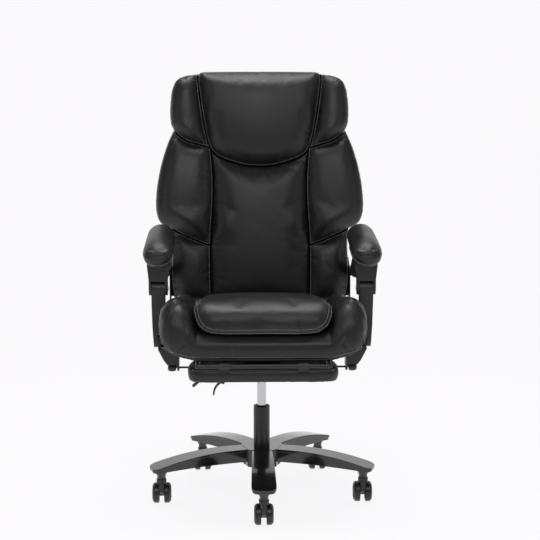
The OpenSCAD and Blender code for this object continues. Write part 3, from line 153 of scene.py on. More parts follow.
# Range of the slow noise over which roughness changes, roughness of a coat, and sockets of the
# node that mixes the two colours
PATCH_RANGE = (0.3, 0.7)
COAT_ROUGHNESS = 0.06
MIX_SHARE, MIX_A, MIX_B = 0, 6, 7
MIX_RESULT = 2


def surface(name, group, dark, light, rough, bump, scale=None, metallic=0.0, coat=0.0,
            bevel=0.0):
    """Material whose colour goes from dark to light and whose roughness has two ends. bump is
    its strength and depth."""
    material = bpy.data.materials.new(name)
    material.use_nodes = True
    tree = material.node_tree
    tree.nodes.clear()
    output = tree.nodes.new("ShaderNodeOutputMaterial")
    shader = tree.nodes.new("ShaderNodeBsdfPrincipled")
    tree.links.new(shader.outputs[0], output.inputs["Surface"])
    detail = add(tree, "ShaderNodeGroup", node_tree=group)
    if scale:
        detail.inputs["Scale"].default_value = scale
    colour = add(tree, "ShaderNodeMix", data_type="RGBA")
    colour.inputs[MIX_A].default_value = (*dark, 1.0)
    colour.inputs[MIX_B].default_value = (*light, 1.0)
    tree.links.new(detail.outputs["Patch"], colour.inputs[MIX_SHARE])
    tree.links.new(colour.outputs[MIX_RESULT], shader.inputs["Base Color"])
    span = add(tree, "ShaderNodeMapRange", links=[("Value", detail.outputs["Patch"])])
    span.inputs["From Min"].default_value = PATCH_RANGE[0]
    span.inputs["From Max"].default_value = PATCH_RANGE[1]
    span.inputs["To Min"].default_value = rough[0]
    span.inputs["To Max"].default_value = rough[1]
    tree.links.new(span.outputs[0], shader.inputs["Roughness"])
    bumped = add(tree, "ShaderNodeBump", i_Strength=bump[0], i_Distance=bump[1],
                 links=[("Height", detail.outputs["Height"])])
    if bevel:
        edge = add(tree, "ShaderNodeBevel", samples=6, i_Radius=bevel)
        tree.links.new(edge.outputs[0], bumped.inputs["Normal"])
    tree.links.new(bumped.outputs[0], shader.inputs["Normal"])
    shader.inputs["Metallic"].default_value = metallic
    shader.inputs["Coat Weight"].default_value = coat
    shader.inputs["Coat Roughness"].default_value = COAT_ROUGHNESS
    return material


LEATHER = surface("black_leather", GRAIN, (0.0046, 0.0045, 0.0044), (0.0080, 0.0077, 0.0074),
                  (0.39, 0.49), (0.24, 0.0006))
THREAD = surface("grey_thread", SPECKLE, (0.20, 0.20, 0.20), (0.30, 0.295, 0.29),
                 (0.6, 0.7), (0.3, 0.0002), scale=2500.0)
PAINTS = {
    "gloss_black_nylon": surface("gloss_black_nylon", SPECKLE, (0.006, 0.006, 0.0065),
                                 (0.009, 0.009, 0.0095), (0.10, 0.17), (0.05, 0.0003),
                                 scale=260.0, coat=0.4, bevel=0.0032),
    "black_coated_steel": surface("black_coated_steel", SPECKLE, (0.010, 0.010, 0.0105),
                                  (0.017, 0.017, 0.0175), (0.30, 0.42), (0.12, 0.0003),
                                  scale=420.0, bevel=0.0012),
    "guide_nylon": surface("guide_nylon", SPECKLE, (0.015, 0.015, 0.015), (0.024, 0.024, 0.024),
                           (0.45, 0.6), (0.25, 0.0003), scale=1200.0, bevel=0.001),
    "zinc_steel": surface("zinc_steel", SPECKLE, (0.40, 0.40, 0.41), (0.56, 0.56, 0.57),
                          (0.26, 0.42), (0.1, 0.0002), scale=700.0, metallic=1.0, bevel=0.0006),
    "chrome_steel": surface("chrome_steel", SPECKLE, (0.50, 0.50, 0.52), (0.58, 0.58, 0.60),
                            (0.05, 0.12), (0.03, 0.0002), scale=300.0, metallic=1.0),
    "plywood": surface("plywood", SPECKLE, (0.035, 0.026, 0.018), (0.07, 0.052, 0.036),
                       (0.55, 0.75), (0.4, 0.0005), scale=160.0),
    "black_leather": LEATHER,
    "satin_black_plastic": surface("satin_black_plastic", SPECKLE, (0.014, 0.014, 0.0145),
                                   (0.021, 0.021, 0.0215), (0.36, 0.48), (0.2, 0.0003),
                                   scale=1500.0, bevel=0.0025),
    "caster_nylon": surface("caster_nylon", SPECKLE, (0.009, 0.009, 0.0095),
                            (0.018, 0.018, 0.0185), (0.26, 0.44), (0.15, 0.0003), scale=800.0,
                            bevel=0.0012),
}
slot_of = {part["node"]: part["material_slot"] for part in frame["record"]["subparts"]}
for node_name, node_object in frame["nodes"].items():
    node_object.data.materials.clear()
    node_object.data.materials.append(PAINTS[slot_of[node_name]])


# Shaping of the padded pieces. First the steps of a smooth curve from one point to the next, and
# how many points are measured against an outline at once.
CURVE_STEPS = 24
POINTS_AT_ONCE = 1500


def even(curve, spacing):
    """A closed polyline resampled to evenly spaced points."""
    ring = np.vstack([curve, curve[:1]])
    along = np.concatenate([[0], np.cumsum(np.linalg.norm(np.diff(ring, axis=0), axis=1))])
    count = max(8, int(round(along[-1] / spacing)))
    at = np.linspace(0, along[-1], count, endpoint=False)
    return np.column_stack([np.interp(at, along, ring[:, k]) for k in range(ring.shape[1])])


def trail(points, closed=False):
    """Smooth curve through the points, in millimetres, as a dense polyline."""
    p = np.asarray(points, float)
    if closed:
        p = np.vstack([p[-1:], p, p[:2]])
    else:
        p = np.vstack([2 * p[:1] - p[1:2], p, 2 * p[-1:] - p[-2:-1]])
    t = np.linspace(0, 1, CURVE_STEPS, endpoint=False)[:, None]
    fine = []
    for a, b, c, d in zip(p[:-3], p[1:-2], p[2:-1], p[3:]):
        k0, k1, k2 = [max(np.linalg.norm(v - u), 1e-6) ** 0.5 for u, v in ((a, b), (b, c), (c, d))]
        m1 = ((b - a) / k0 - (c - a) / (k0 + k1) + (c - b) / k1) * k1
        m2 = ((c - b) / k1 - (d - b) / (k1 + k2) + (d - c) / k2) * k1
        fine.append((2 * t ** 3 - 3 * t ** 2 + 1) * b + (t ** 3 - 2 * t ** 2 + t) * m1
                    + (-2 * t ** 3 + 3 * t ** 2) * c + (t ** 3 - t ** 2) * m2)
    return np.vstack(fine)


def loop(*trails):
    """Closed outline from open trails that each start where the last one ended."""
    return np.vstack([trail(part) for part in trails])


def turned(line, spacing):
    """Outline in metres, anticlockwise and evenly spaced."""
    p = np.asarray(line, float) * MM
    area = np.sum(p[:, 0] * np.roll(p[:, 1], -1) - np.roll(p[:, 0], -1) * p[:, 1])
    return even(p[::-1] if area < 0 else p, spacing)


def inward(curve):
    """Unit normals of an anticlockwise ring, to its inside."""
    tangent = np.roll(curve, -1, axis=0) - np.roll(curve, 1, axis=0)
    tangent /= np.linalg.norm(tangent, axis=1)[:, None]
    return np.column_stack([-tangent[:, 1], tangent[:, 0]])


def smooth(value, low, high):
    """Smooth step from 0 at low to 1 at high."""
    t = np.clip((value - low) / (high - low), 0, 1)
    return t * t * (3 - 2 * t)


def depth_in(points, ring):
    """How deep each point lies inside a closed ring, and the index of the ring's nearest point."""
    a, b = ring, np.roll(ring, -1, axis=0)
    ab = b - a
    long = np.maximum((ab ** 2).sum(1), 1e-18)
    depth = np.empty(len(points))
    index = np.empty(len(points), int)
    for s in range(0, len(points), POINTS_AT_ONCE):
        p = points[s:s + POINTS_AT_ONCE, None, :]
        t = np.clip(((p - a) * ab).sum(2) / long, 0, 1)
        gap = np.linalg.norm(p - a - t[:, :, None] * ab, axis=2)
        k = gap.argmin(1)
        crosses = (a[:, 1] > p[:, :, 1]) != (b[:, 1] > p[:, :, 1])
        rise = np.where(ab[:, 1] == 0, 1e-12, ab[:, 1])
        left = p[:, :, 0] < ab[:, 0] * (p[:, :, 1] - a[:, 1]) / rise + a[:, 0]
        inside = (crosses & left).sum(1) % 2 == 1
        d = gap[np.arange(len(k)), k]
        depth[s:s + POINTS_AT_ONCE] = np.where(inside, d, -d)
        index[s:s + POINTS_AT_ONCE] = k
    return depth, index


# Grid of a swell: its step and its margin in steps. Then the rounds and the over-relaxation
# with which the distance field and the balloon field are worked out.
GRID_STEP = 0.004
GRID_MARGIN = 3
EDGE_SOLVE = (160, 1.6)
BALLOON_SOLVE = (300, 1.94)


class Swell:
    """Two smooth fields inside an outline: how far in from the edge, and how far up a balloon."""

    def __init__(self, ring, reach):
        margin = GRID_MARGIN * GRID_STEP
        self.reach = reach
        self.low = ring.min(0) - margin
        self.shape = tuple(np.ceil((ring.max(0) + margin - self.low) / GRID_STEP).astype(int) + 1)
        gx, gy = np.meshgrid(*[np.arange(n) * GRID_STEP for n in self.shape], indexing="ij")
        grid = np.column_stack([gx.ravel(), gy.ravel()]) + self.low
        depth = depth_in(grid, even(ring, 2 * GRID_STEP))[0].reshape(self.shape)
        inside = depth > 0
        outside = np.clip(depth, -2.5 * GRID_STEP, 0)
        self.near = self.relax(np.exp(-outside / reach), inside, 1 / reach ** 2, 0.0, EDGE_SOLVE)
        length = np.linalg.norm(ring - np.roll(ring, 1, 0), axis=1).sum()
        slope = inside.sum() * GRID_STEP ** 2 / length
        self.up = self.relax(slope * outside, inside, 0.0, 1.0, BALLOON_SOLVE)
        self.up /= self.up.max()

    def relax(self, start, inside, pull, push, solve):
        """A field pulled to zero and pushed up inside the outline, held at start outside it."""
        rounds, over = solve
        u = np.where(inside, start.mean() * 0.2, start)
        chess = np.add.outer(np.arange(self.shape[0]), np.arange(self.shape[1])) % 2
        masks = [inside & (chess == k) for k in (0, 1)]
        for _ in range(rounds):
            for mask in masks:
                around = (np.roll(u, 1, 0) + np.roll(u, -1, 0) + np.roll(u, 1, 1)
                          + np.roll(u, -1, 1))
                new = (around + push * GRID_STEP ** 2) / (4 + pull * GRID_STEP ** 2)
                u[mask] += over * (new - u)[mask]
        return u

    def sample(self, field, points):
        """A field between the points of its grid."""
        q = (points - self.low) / GRID_STEP
        i = np.clip(q.astype(int), 0, np.array(self.shape) - 2)
        f = q - i
        x, y = i[:, 0], i[:, 1]
        return ((field[x, y] * (1 - f[:, 0]) + field[x + 1, y] * f[:, 0]) * (1 - f[:, 1])
                + (field[x, y + 1] * (1 - f[:, 0]) + field[x + 1, y + 1] * f[:, 0]) * f[:, 1])

    def at(self, points, depth):
        """Distance in, exact near the edge and rounded over the middle, and the balloon."""
        far = -self.reach * np.log(np.clip(self.sample(self.near, points), 1e-6, 1.0))
        share = smooth(depth, 0.003, 0.012)
        return depth * (1 - share) + far * share, np.clip(self.sample(self.up, points), 0, 1)


def line_gap(points, line):
    """Distance of each point from an open line of straight pieces."""
    gap = np.full(len(points), np.inf)
    for a, b in zip(line[:-1], line[1:]):
        ab = b - a
        t = np.clip(((points - a) @ ab) / (ab @ ab), 0, 1)
        gap = np.minimum(gap, np.linalg.norm(points - a - t[:, None] * ab, axis=1))
    return gap


# Distances in from the edge at which a patch has rows of points
ROWS = (0.0012, 0.0028, 0.0048, 0.0072, 0.0100, 0.0135, 0.018)
# Height of a row of even triangles, as a share of their side
ROW_STEP = 0.866


def patch(curve, spacing=0.007):
    """Flat triangles inside the curve: the curve first, then rows along it, then an even field."""
    normal = inward(curve)
    points = [curve]
    for row in ROWS:
        ring = curve + normal * row
        keep = depth_in(ring, curve)[0] > row * 0.93
        points.append(ring[keep])
    low, high = curve.min(0), curve.max(0)
    nx, ny = ((high - low) / spacing).astype(int) + 2
    gx, gy = np.meshgrid(np.arange(nx), np.arange(ny / ROW_STEP).astype(int), indexing="ij")
    field = np.column_stack([(gx + 0.5 * (gy % 2)).ravel() * spacing,
                             gy.ravel() * spacing * ROW_STEP]) + low
    keep = depth_in(field, even(curve, 0.006))[0] > ROWS[-1] + spacing * 0.55
    points.append(field[keep])
    flat = np.vstack(points)
    count = len(curve)
    edges = [(i, (i + 1) % count) for i in range(count)]
    out = delaunay_2d_cdt([Vector(p) for p in flat], edges, [], 1, 1e-7)
    back = [ids[0] if ids else None for ids in out[3]]
    faces = [tuple(back[v] for v in face) for face in out[2]]
    faces = [f for f in faces if None not in f]
    order = []
    for f in faces:
        a, b, c = flat[list(f)]
        turn = (b[0] - a[0]) * (c[1] - a[1]) - (b[1] - a[1]) * (c[0] - a[0])
        order.append(f if turn > 0 else f[::-1])
    return flat, order


def mesh_object(name, points, faces, material):
    """Smooth-shaded mesh object in the scene."""
    mesh = bpy.data.meshes.new(name)
    mesh.from_pydata([tuple(p) for p in points], [], faces)
    mesh.validate()
    mesh.update()
    mesh.polygons.foreach_set("use_smooth", [True] * len(mesh.polygons))
    mesh.materials.append(material)
    piece = bpy.data.objects.new(name, mesh)
    bpy.context.collection.objects.link(piece)
    return piece


def skin(name, rings, front, triangles):
    """Closed mesh: a flat back, rings of equal count up to the patch's edge, and the patch."""
    count = len(rings[0])
    faces = [tuple(range(count - 1, -1, -1))]
    levels = len(rings)
    for k in range(levels):
        for i in range(count):
            j = (i + 1) % count
            faces.append((k * count + i, k * count + j, (k + 1) * count + j, (k + 1) * count + i))
    first = levels * count
    faces += [tuple(first + v for v in f) for f in triangles]
    return mesh_object(name, np.vstack(rings + [front]), faces, LEATHER)


def outward(piece):
    """Faces turned to the outside of a closed mesh."""
    work = bmesh.new()
    work.from_mesh(piece.data)
    bmesh.ops.recalc_face_normals(work, faces=work.faces)
    work.to_mesh(piece.data)
    work.free()


# Sections along one thread: place, swell and lift, as shares of its length and radius
THREAD_SECTIONS = [(-0.5, 0.35, -0.6), (-0.34, 1.0, 0.2), (0.34, 1.0, 0.2), (0.5, 0.35, -0.6)]
THREAD_SIDES = 6


def stitches(name, path, up, body, pitch=0.0076, length=0.0056, radius=0.00052):
    """One mesh of short threads laid along a closed or open path of points."""
    up = up / np.linalg.norm(up, axis=1)[:, None]
    both_ways = even(np.hstack([path + up * radius * 0.5, up]), pitch)
    where, up = both_ways[:, :3], both_ways[:, 3:]
    up /= np.linalg.norm(up, axis=1)[:, None]
    along = np.roll(where, -1, axis=0) - np.roll(where, 1, axis=0)
    span = np.linalg.norm(along, axis=1)
    keep = span < pitch * 3
    where, up, along = where[keep], up[keep], along[keep] / span[keep][:, None]
    side = np.cross(along, up)
    points, faces = [], []
    n = THREAD_SIDES
    for c, u, a, s in zip(where, up, along, side):
        first = len(points)
        for shift, swell, lift in THREAD_SECTIONS:
            for k in range(n):
                turn = k * 2 * math.pi / n
                points.append(c + a * length * shift + u * radius * (lift + swell * math.sin(turn))
                              + s * radius * swell * math.cos(turn))
        last = len(points) - n
        for ring in range(first, last, n):
            for k in range(n):
                m = (k + 1) % n
                faces.append((ring + k, ring + m, ring + n + m, ring + n + k))
        faces.append(tuple(first + k for k in range(n - 1, -1, -1)))
        faces.append(tuple(last + k for k in range(n)))
    piece = mesh_object(name, points, faces, THREAD)
    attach(piece, body)
    return piece


def surface_path(flat, front, faces, line):
    """Places and normals of the swollen front under a line drawn on the flat pattern."""
    normal = np.zeros_like(front)
    tri = np.array([f for f in faces if len(f) == 3])
    n = np.cross(front[tri[:, 1]] - front[tri[:, 0]], front[tri[:, 2]] - front[tri[:, 0]])
    for k in range(3):
        np.add.at(normal, tri[:, k], n)
    path, up = [], []
    for p in line:
        gap = ((flat - p) ** 2).sum(1)
        near = np.argpartition(gap, 6)[:6]
        plane = np.column_stack([flat[near] - p, np.ones(6)])
        weight = np.sqrt(1 / (gap[near] + 1e-7))[:, None]
        path.append(np.linalg.lstsq(plane * weight, front[near] * weight, rcond=None)[0][2])
        up.append(normal[near].sum(0))
    return np.array(path), np.array(up)


COVERS = []


def cover(points, faces, depth, limit, close):
    """Set a drawn cover aside until they all settle; close builds its cushion from the result."""
    COVERS.append((np.asarray(points), faces, depth, limit, close))


# Width of the leather that its seam holds in the cloth, and width over which it comes free
SEAM_HOLD = 0.0035
SEAM_FREE = 0.006


def settle(growth=0.006, pressure=2.6, frames=20):
    """The leather of every cushion swells over its filling as cloth, held along its seams."""
    sheets = []
    for number, (points, faces, depth, _, _) in enumerate(COVERS):
        sheet = mesh_object("cover_%d" % number, points, faces, LEATHER)
        seam = sheet.vertex_groups.new(name="seam")
        hold = np.exp(-(depth / SEAM_HOLD) ** 2)
        for i in np.flatnonzero(hold > 0.02):
            seam.add([int(i)], float(min(hold[i], 1.0)), "REPLACE")
        cloth = sheet.modifiers.new("cloth", "CLOTH")
        how = cloth.settings
        how.quality = 4
        how.mass = 0.12
        how.tension_stiffness = how.compression_stiffness = 26.0
        how.shear_stiffness = 12.0
        how.bending_stiffness = 4.0
        how.tension_damping = how.compression_damping = 12.0
        how.air_damping = 3.0
        how.use_pressure = True
        how.uniform_pressure_force = pressure
        how.shrink_min = -growth
        how.vertex_group_mass = "seam"
        how.effector_weights.gravity = 0.0
        cloth.collision_settings.use_collision = False
        cloth.point_cache.frame_start = 1
        cloth.point_cache.frame_end = frames
        sheets.append(sheet)
    scene = bpy.context.scene
    for number in range(1, frames + 1):
        scene.frame_set(number)
    graph = bpy.context.evaluated_depsgraph_get()
    settled = []
    for sheet, (points, _, depth, limit, _) in zip(sheets, COVERS):
        moved = np.empty(len(points) * 3)
        sheet.evaluated_get(graph).data.vertices.foreach_get("co", moved)
        shift = moved.reshape(-1, 3) - points
        size = np.maximum(np.linalg.norm(shift, axis=1), 1e-9)
        shift *= (limit * np.tanh(size / limit) / size * smooth(depth, 0.0, SEAM_FREE))[:, None]
        settled.append(points + shift)
    for sheet in sheets:
        mesh = sheet.data
        bpy.data.objects.remove(sheet)
        bpy.data.meshes.remove(mesh)
    scene.frame_set(1)
    return settled


def declare(piece, body, nodes):
    """A padded piece rides on its body and stands for its CAD solids."""
    outward(piece)
    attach(piece, body)
    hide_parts(*nodes)


def pleats(source, count, length, tight, amount):
    """Small gathers along a seam: place, slant, depth, width and reach of each."""
    chance = np.cumsum(0.12 + tight)
    number = max(1, int(length * amount))
    at = np.searchsorted(chance / chance[-1], source.uniform(0, 1, number))
    return [(at[k] * length / count, source.uniform(-0.45, 0.45), source.uniform(0.7, 2.3) * MM,
             source.uniform(1.8, 4.2) * MM, source.uniform(9, 30) * MM) for k in range(number)]


def gather(folds, length, s, d):
    """Drop of the surface at arc length s and depth d, from the gathers of its seam."""
    drop = np.zeros(len(s))
    for at, slant, deep, width, reach in folds:
        off = (s - at - slant * d + length / 2) % length - length / 2
        drop += deep * np.exp(-(off / width) ** 2) * np.exp(-(d / reach) ** 2)
    return drop * smooth(d, 0.0, 0.004)


def tightness(curve):
    """How sharply the curve bends outward at each point, 0 to 1, spread a little along it."""
    t = np.roll(curve, -3, axis=0) - np.roll(curve, 3, axis=0)
    angle = np.unwrap(np.arctan2(t[:, 1], t[:, 0]))
    bend = (np.roll(angle, -6) - np.roll(angle, 6) + math.pi) % (2 * math.pi) - math.pi
    bend = np.clip(bend, 0, 0.8) / 0.8
    for _ in range(40):
        bend = (np.roll(bend, 1) + bend + np.roll(bend, -1)) / 3
    return bend


# Slow waves of the leather: their number, height and least and greatest length
WAVE_COUNT = 6
WAVE = 0.00008
WAVE_LENGTHS = (0.05, 0.14)
# Depth and width of the groove at a seam, and reach over which the edge is rounded inside
SEAM_GROOVE = 0.0016
SWELL_REACH = 0.014
# How far the last ring of a wall lies outside its seam and below it, in millimetres
UNDERCUT = (0.6, 2.2)
# How far threads stand out of a wall, in millimetres
THREAD_OUT = 0.15


def swollen(flat, depth, start, middle, half, values):
    """Height of a cushion's front over its seam: crowned, domed, tilted and with its bumps."""
    crown, edge, dome, tilt, bumps = values
    far, up = Swell(start, SWELL_REACH).at(flat, depth)
    x = np.clip(far / (edge * MM), 0, 1)
    rise = np.sqrt(np.maximum(1 - (1 - x) ** 2, 0))
    height = crown * MM * rise + dome * MM * up
    away = (flat - middle) / half
    height *= 1 + tilt[0] * away[:, 0] + tilt[1] * away[:, 1]
    for bx, by, long, short, turn, amount in bumps:
        c, t = math.cos(math.radians(turn)), math.sin(math.radians(turn))
        dx, dy = flat[:, 0] / MM - bx, flat[:, 1] / MM - by
        u, v = dx * c + dy * t, dy * c - dx * t
        height += amount * MM * np.exp(-(u / long) ** 2 - (v / short) ** 2) * rise ** 0.7
    return height


def waves(source, flat, depth):
    """Slow waves of the leather in random directions."""
    height = np.zeros(len(flat))
    for _ in range(WAVE_COUNT):
        turn, size = source.uniform(0, 2 * math.pi), source.uniform(*WAVE_LENGTHS)
        push = flat @ np.array([math.cos(turn), math.sin(turn)]) * 2 * math.pi / size
        height += np.sin(push + source.uniform(0, 6))
    return WAVE * height * smooth(depth, 0.0, 0.03)


def cushion(name, nodes, body, outline, place, side, crown, edge, dome=0.0, tilt=(0, 0),
            gathers=60, seed=1, stitch=(0.0038,), fill=0.7, spacing=0.0032, shape=None,
            bumps=(), wall_stitch=(), wall_rise=0, limit=0.006):
    """Padded piece. side lists (inset, height) from its back to its seam, in millimetres. The
    front swells from the seam by crown over the width edge, and on by dome to the middle. Each
    of bumps is a place, two radii, a turn in degrees and a height. The rows of wall_stitch run
    at their heights, and rise by wall_rise to the sides. The cloth moves by limit at most."""
    curve = turned(outline, spacing)
    count = len(curve)
    length = np.linalg.norm(curve - np.roll(curve, 1, 0), axis=1).sum()
    normal = inward(curve)
    source = np.random.default_rng(seed)
    folds = pleats(source, count, length, tightness(curve), gathers)
    run = np.arange(count) * length / count
    seam_in, seam = side[-1][0] * MM, side[-1][1] * MM
    start = curve + normal * seam_in
    flat, faces = patch(start)
    depth, index = depth_in(flat, start)
    depth = np.maximum(depth, 0)
    depth[:count] = 0
    middle, half = (curve.max(0) + curve.min(0)) / 2, np.ptp(curve, axis=0) / 2
    height = swollen(flat, depth, start, middle, half, (crown, edge, dome, tilt, bumps))
    if shape is not None:
        height = shape(flat / MM, height / MM) * MM
    height -= gather(folds, length, run[index], depth)
    height += waves(source, flat, depth)
    height -= SEAM_GROOVE * np.exp(-(depth / SEAM_GROOVE) ** 2)
    front = place(flat[:, 0], flat[:, 1], seam + height)
    rings = []
    for inset, level in side[:-1] + [(side[-1][0] - UNDERCUT[0], side[-1][1] - UNDERCUT[1])]:
        share = smooth(level * MM, 0.2 * seam, seam)
        pull = gather(folds, length, run, np.full(count, max(seam - level * MM, 0.002)))
        ring = curve + normal * (inset * MM + 0.7 * pull * share)[:, None]
        rings.append(place(ring[:, 0], ring[:, 1], np.full(count, level * MM)))

    def on_wall(level, out):
        """Places on the wall at heights of their own, moved out of it, in millimetres."""
        inset = np.interp(level, [h for _, h in side], [i for i, _ in side])[:, None]
        ring = curve + normal * (inset - out) * MM
        return place(ring[:, 0], ring[:, 1], level * MM)

    def close(front):
        declare(skin(name, rings, front, faces), body, nodes)
        for k, low in enumerate(wall_stitch):
            level = low + wall_rise * (curve[:, 0] / np.abs(curve[:, 0]).max()) ** 2
            path = on_wall(level, THREAD_OUT)
            stitches(name + "_seam" + (str(k) if k else ""), path,
                     on_wall(level, THREAD_OUT + 1) - path, body)
        for k, inset in enumerate(stitch):
            ring = start + normal * inset
            ring = ring[depth_in(ring, start)[0] > inset * 0.9]
            path, up_way = surface_path(flat, front, faces, ring)
            stitches(name + "_stitch" + (str(k) if k else ""), path, up_way, body)

    cover(front, faces, depth, limit, close)


# Back cushions. The back leans from its foot, given by Y and Z.
LEAN = math.radians(8.0)
BACK_FOOT = (0.278, 0.556)


def on_back(x, h, w):
    """Across, up along the back and out of its front."""
    return np.column_stack([x, BACK_FOOT[0] + h * math.sin(LEAN) - w * math.cos(LEAN),
                            BACK_FOOT[1] + h * math.cos(LEAN) + w * math.sin(LEAN)])


def on_rear(x, h, w):
    """Across, up along the back and out of its rear."""
    return on_back(x, h, -w)


def mirror(points):
    return [(-x, y) for x, y in points]


def both(points):
    """An outline whose left half is given, with the mirror image of that half."""
    return list(points) + [(-x, y) for x, y in reversed(points) if x > 0]


# Seams of the back, left half, from the middle out. Neighbouring pieces share them.
HEAD_EDGE = [(158, 500), (167, 524), (180, 585), (191, 660), (196, 700), (198, 722), (196, 741)]
HEAD_LOW = [(0, 442), (45, 446), (84, 456), (127, 472), (147, 486), (158, 500)]
WING_TOP = [(158, 500), (200, 513), (237, 525), (268, 548), (277, 560)]
WING_EDGE = [(160, 187), (157, 240), (152, 310), (150, 389), (153, 450), (158, 500)]
WING_LOW = [(160, 187), (190, 198), (222, 211), (258, 227), (288, 243)]
LOW_EDGE = [(155, 3), (158, 35), (159, 110), (160, 187)]
HEAD_OUT = [(277, 560), (285, 580), (288, 605), (287, 650), (281, 692), (268, 720), (246, 733),
            (215, 739), (196, 741)]
WING_OUT = [(277, 560), (289, 534), (301, 505), (319, 443), (330, 385), (335, 325), (331, 285),
            (320, 262), (303, 249), (288, 243)]
LOW_OUT = [(288, 243), (283, 200), (284, 150), (286, 97), (281, 40), (272, 14), (250, 5),
           (200, 3), (155, 3)]
HEAD_TOP = [(196, 741), (188, 746), (150, 748), (60, 749), (0, 749)]


def back_piece(name, node, outline, seed, **values):
    cushion(name, [node], "back", outline, on_back, seed=seed, **values)


back_piece("centre_panel", "back_centre",
           loop(LOW_EDGE, WING_EDGE, HEAD_LOW[::-1], mirror(HEAD_LOW), mirror(WING_EDGE[::-1]),
                mirror(LOW_EDGE[::-1]), [(-155, 3), (0, 2), (155, 3)]), 3,
           side=[(4, 0.5), (0.6, 20), (0.4, 44)], crown=19, edge=64, dome=12, tilt=(0, -0.05),
           gathers=30, stitch=(), bumps=[(s * 118, 262, 22, 46, 0, 6) for s in (-1, 1)])
back_piece("head_pad", "headrest",
           loop(mirror(HEAD_LOW[::-1]), HEAD_LOW, HEAD_EDGE, HEAD_TOP, mirror(HEAD_TOP[::-1]),
                mirror(HEAD_EDGE[::-1])), 5,
           side=[(10, 0.5), (2, 18), (0.4, 38), (0.4, 46)], crown=42, edge=58, dome=21,
           gathers=60, bumps=[(s * 160, 612, 16, 46, s * 8, 6) for s in (-1, 1)])
for tag, turn, sign in (("l", list, 1), ("r", mirror, -1)):
    back_piece("head_side_" + tag, "head_wing_" + tag,
               loop(*[turn(part) for part in (HEAD_EDGE[::-1], WING_TOP, HEAD_OUT)]), 11,
               side=[(8, 0.5), (1, 18), (0.4, 38), (0.6, 47)], crown=32, edge=40, dome=10,
               gathers=60, tilt=(0, -0.12),
               bumps=[(sign * 228, 560, 38, 20, sign * 28, 8)])
    back_piece("back_side_" + tag, "back_wing_" + tag,
               loop(*[turn(part) for part in (WING_EDGE, WING_TOP, WING_OUT, WING_LOW[::-1])]),
               17, side=[(14, 0.5), (3, 20), (0.4, 38), (0.6, 47)], crown=32, edge=52, dome=12,
               tilt=(0.06 * sign, -0.22), gathers=60,
               bumps=[(sign * 222, 268, 50, 30, sign * 24, 13)])
    back_piece("low_side_" + tag, "lower_bolster_" + tag,
               loop(*[turn(part) for part in (LOW_EDGE, WING_LOW, LOW_OUT)]), 23,
               side=[(8, 0.5), (1, 18), (0.4, 38), (0.6, 46)], crown=27, edge=44, dome=9,
               gathers=50)
cover_line = trail(both([(0, 5), (150, 6), (225, 12), (252, 50), (262, 120), (280, 220),
                         (289, 330), (288, 440), (275, 560), (268, 680), (250, 730), (200, 745),
                         (0, 749)]), True)
cushion("rear_cover", ["back_cover"], "back", cover_line, on_rear,
        [(36, 14.3), (31, 13), (27, 4), (18, 1.5), (6, 3), (1, 9), (0, 18), (1, 26)], 8, 40,
        dome=6, seed=29, gathers=14)


# Seat cushions. The seat falls to the rear, by this much over its length.
SEAT_FALL = math.tan(math.radians(6.0))
SEAT_LINE = both([(0, 188), (180, 188), (245, 186), (270, 172), (279, 140), (279, 0), (279, -120),
                  (284, -146), (296, -168), (301.5, -192), (302, -222), (298, -252), (288, -274),
                  (268, -289), (230, -293), (120, -294), (0, -294)])


# Heights of the seat form: its hem at the front, its seam over the hem, its seam along the sides,
# its shoulder at the front, the crest of its bolsters, the radius and half width at which they
# fall in, and its trough. Its wall sinks to the rear by a share of the fall of the seat.
SEAT_HEM = 0.4765
HEM_SEAM = 0.008
SIDE_SEAM = 0.570
FRONT_SHOULDER = 0.512
SEAT_CREST = 0.654
CREST_RADIUS = 0.062
CREST_HALF = 0.258
SEAT_TROUGH = 0.569
WALL_FALL_SHARE = 0.6


def seat_levels(x, y):
    """Hem, seam and shoulder heights of the seat's wall at a place in plan, in metres."""
    ax = np.abs(x)
    hem = (SEAT_HEM + 0.002 * smooth(ax, 0.18, 0.22) + 0.008 * smooth(ax, 0.215, 0.262)
           + 0.006 * smooth(ax, 0.25, 0.30))
    side = smooth(ax, 0.255, 0.300) * smooth(-y, 0.300, 0.220) + smooth(y, -0.230, -0.160)
    side = np.clip(side, 0, 1)
    low = WALL_FALL_SHARE * SEAT_FALL * np.maximum(y + 0.2, 0)
    seam = hem + HEM_SEAM + (SIDE_SEAM - low - hem - HEM_SEAM) * side
    shoulder = (FRONT_SHOULDER + 0.031 * smooth(ax, 0.17, 0.27) + 0.037 * smooth(y, -0.29, -0.2)
                - low)
    return hem, seam, np.maximum(shoulder, seam + 0.012)


def seat_top(x, y):
    """Height of the seat's upper side before its rounded edge: rolls and the pad's trough."""
    ax = np.abs(x)
    across = np.clip(CREST_HALF - ax, 0, CREST_RADIUS)
    drop = CREST_RADIUS - np.sqrt(np.maximum(CREST_RADIUS ** 2 - across ** 2, 0))
    ridge = SEAT_CREST - drop * 1.35
    front = smooth(-y, 0.165, 0.235)
    step = smooth(ax, 0.185 - 0.08 * front, 0.1985 + 0.062 * front)
    floor = SEAT_TROUGH - 0.015 * smooth(-y, 0.2, 0.268)
    return floor + (ridge - floor) * step - SEAT_FALL * np.maximum(y + 0.235, -0.06)


# Half width of the seat form, its middle along Y and its half depth
SEAT_HALF = 0.302
SEAT_MIDDLE = -0.0525
SEAT_HALF_DEPTH = 0.2405


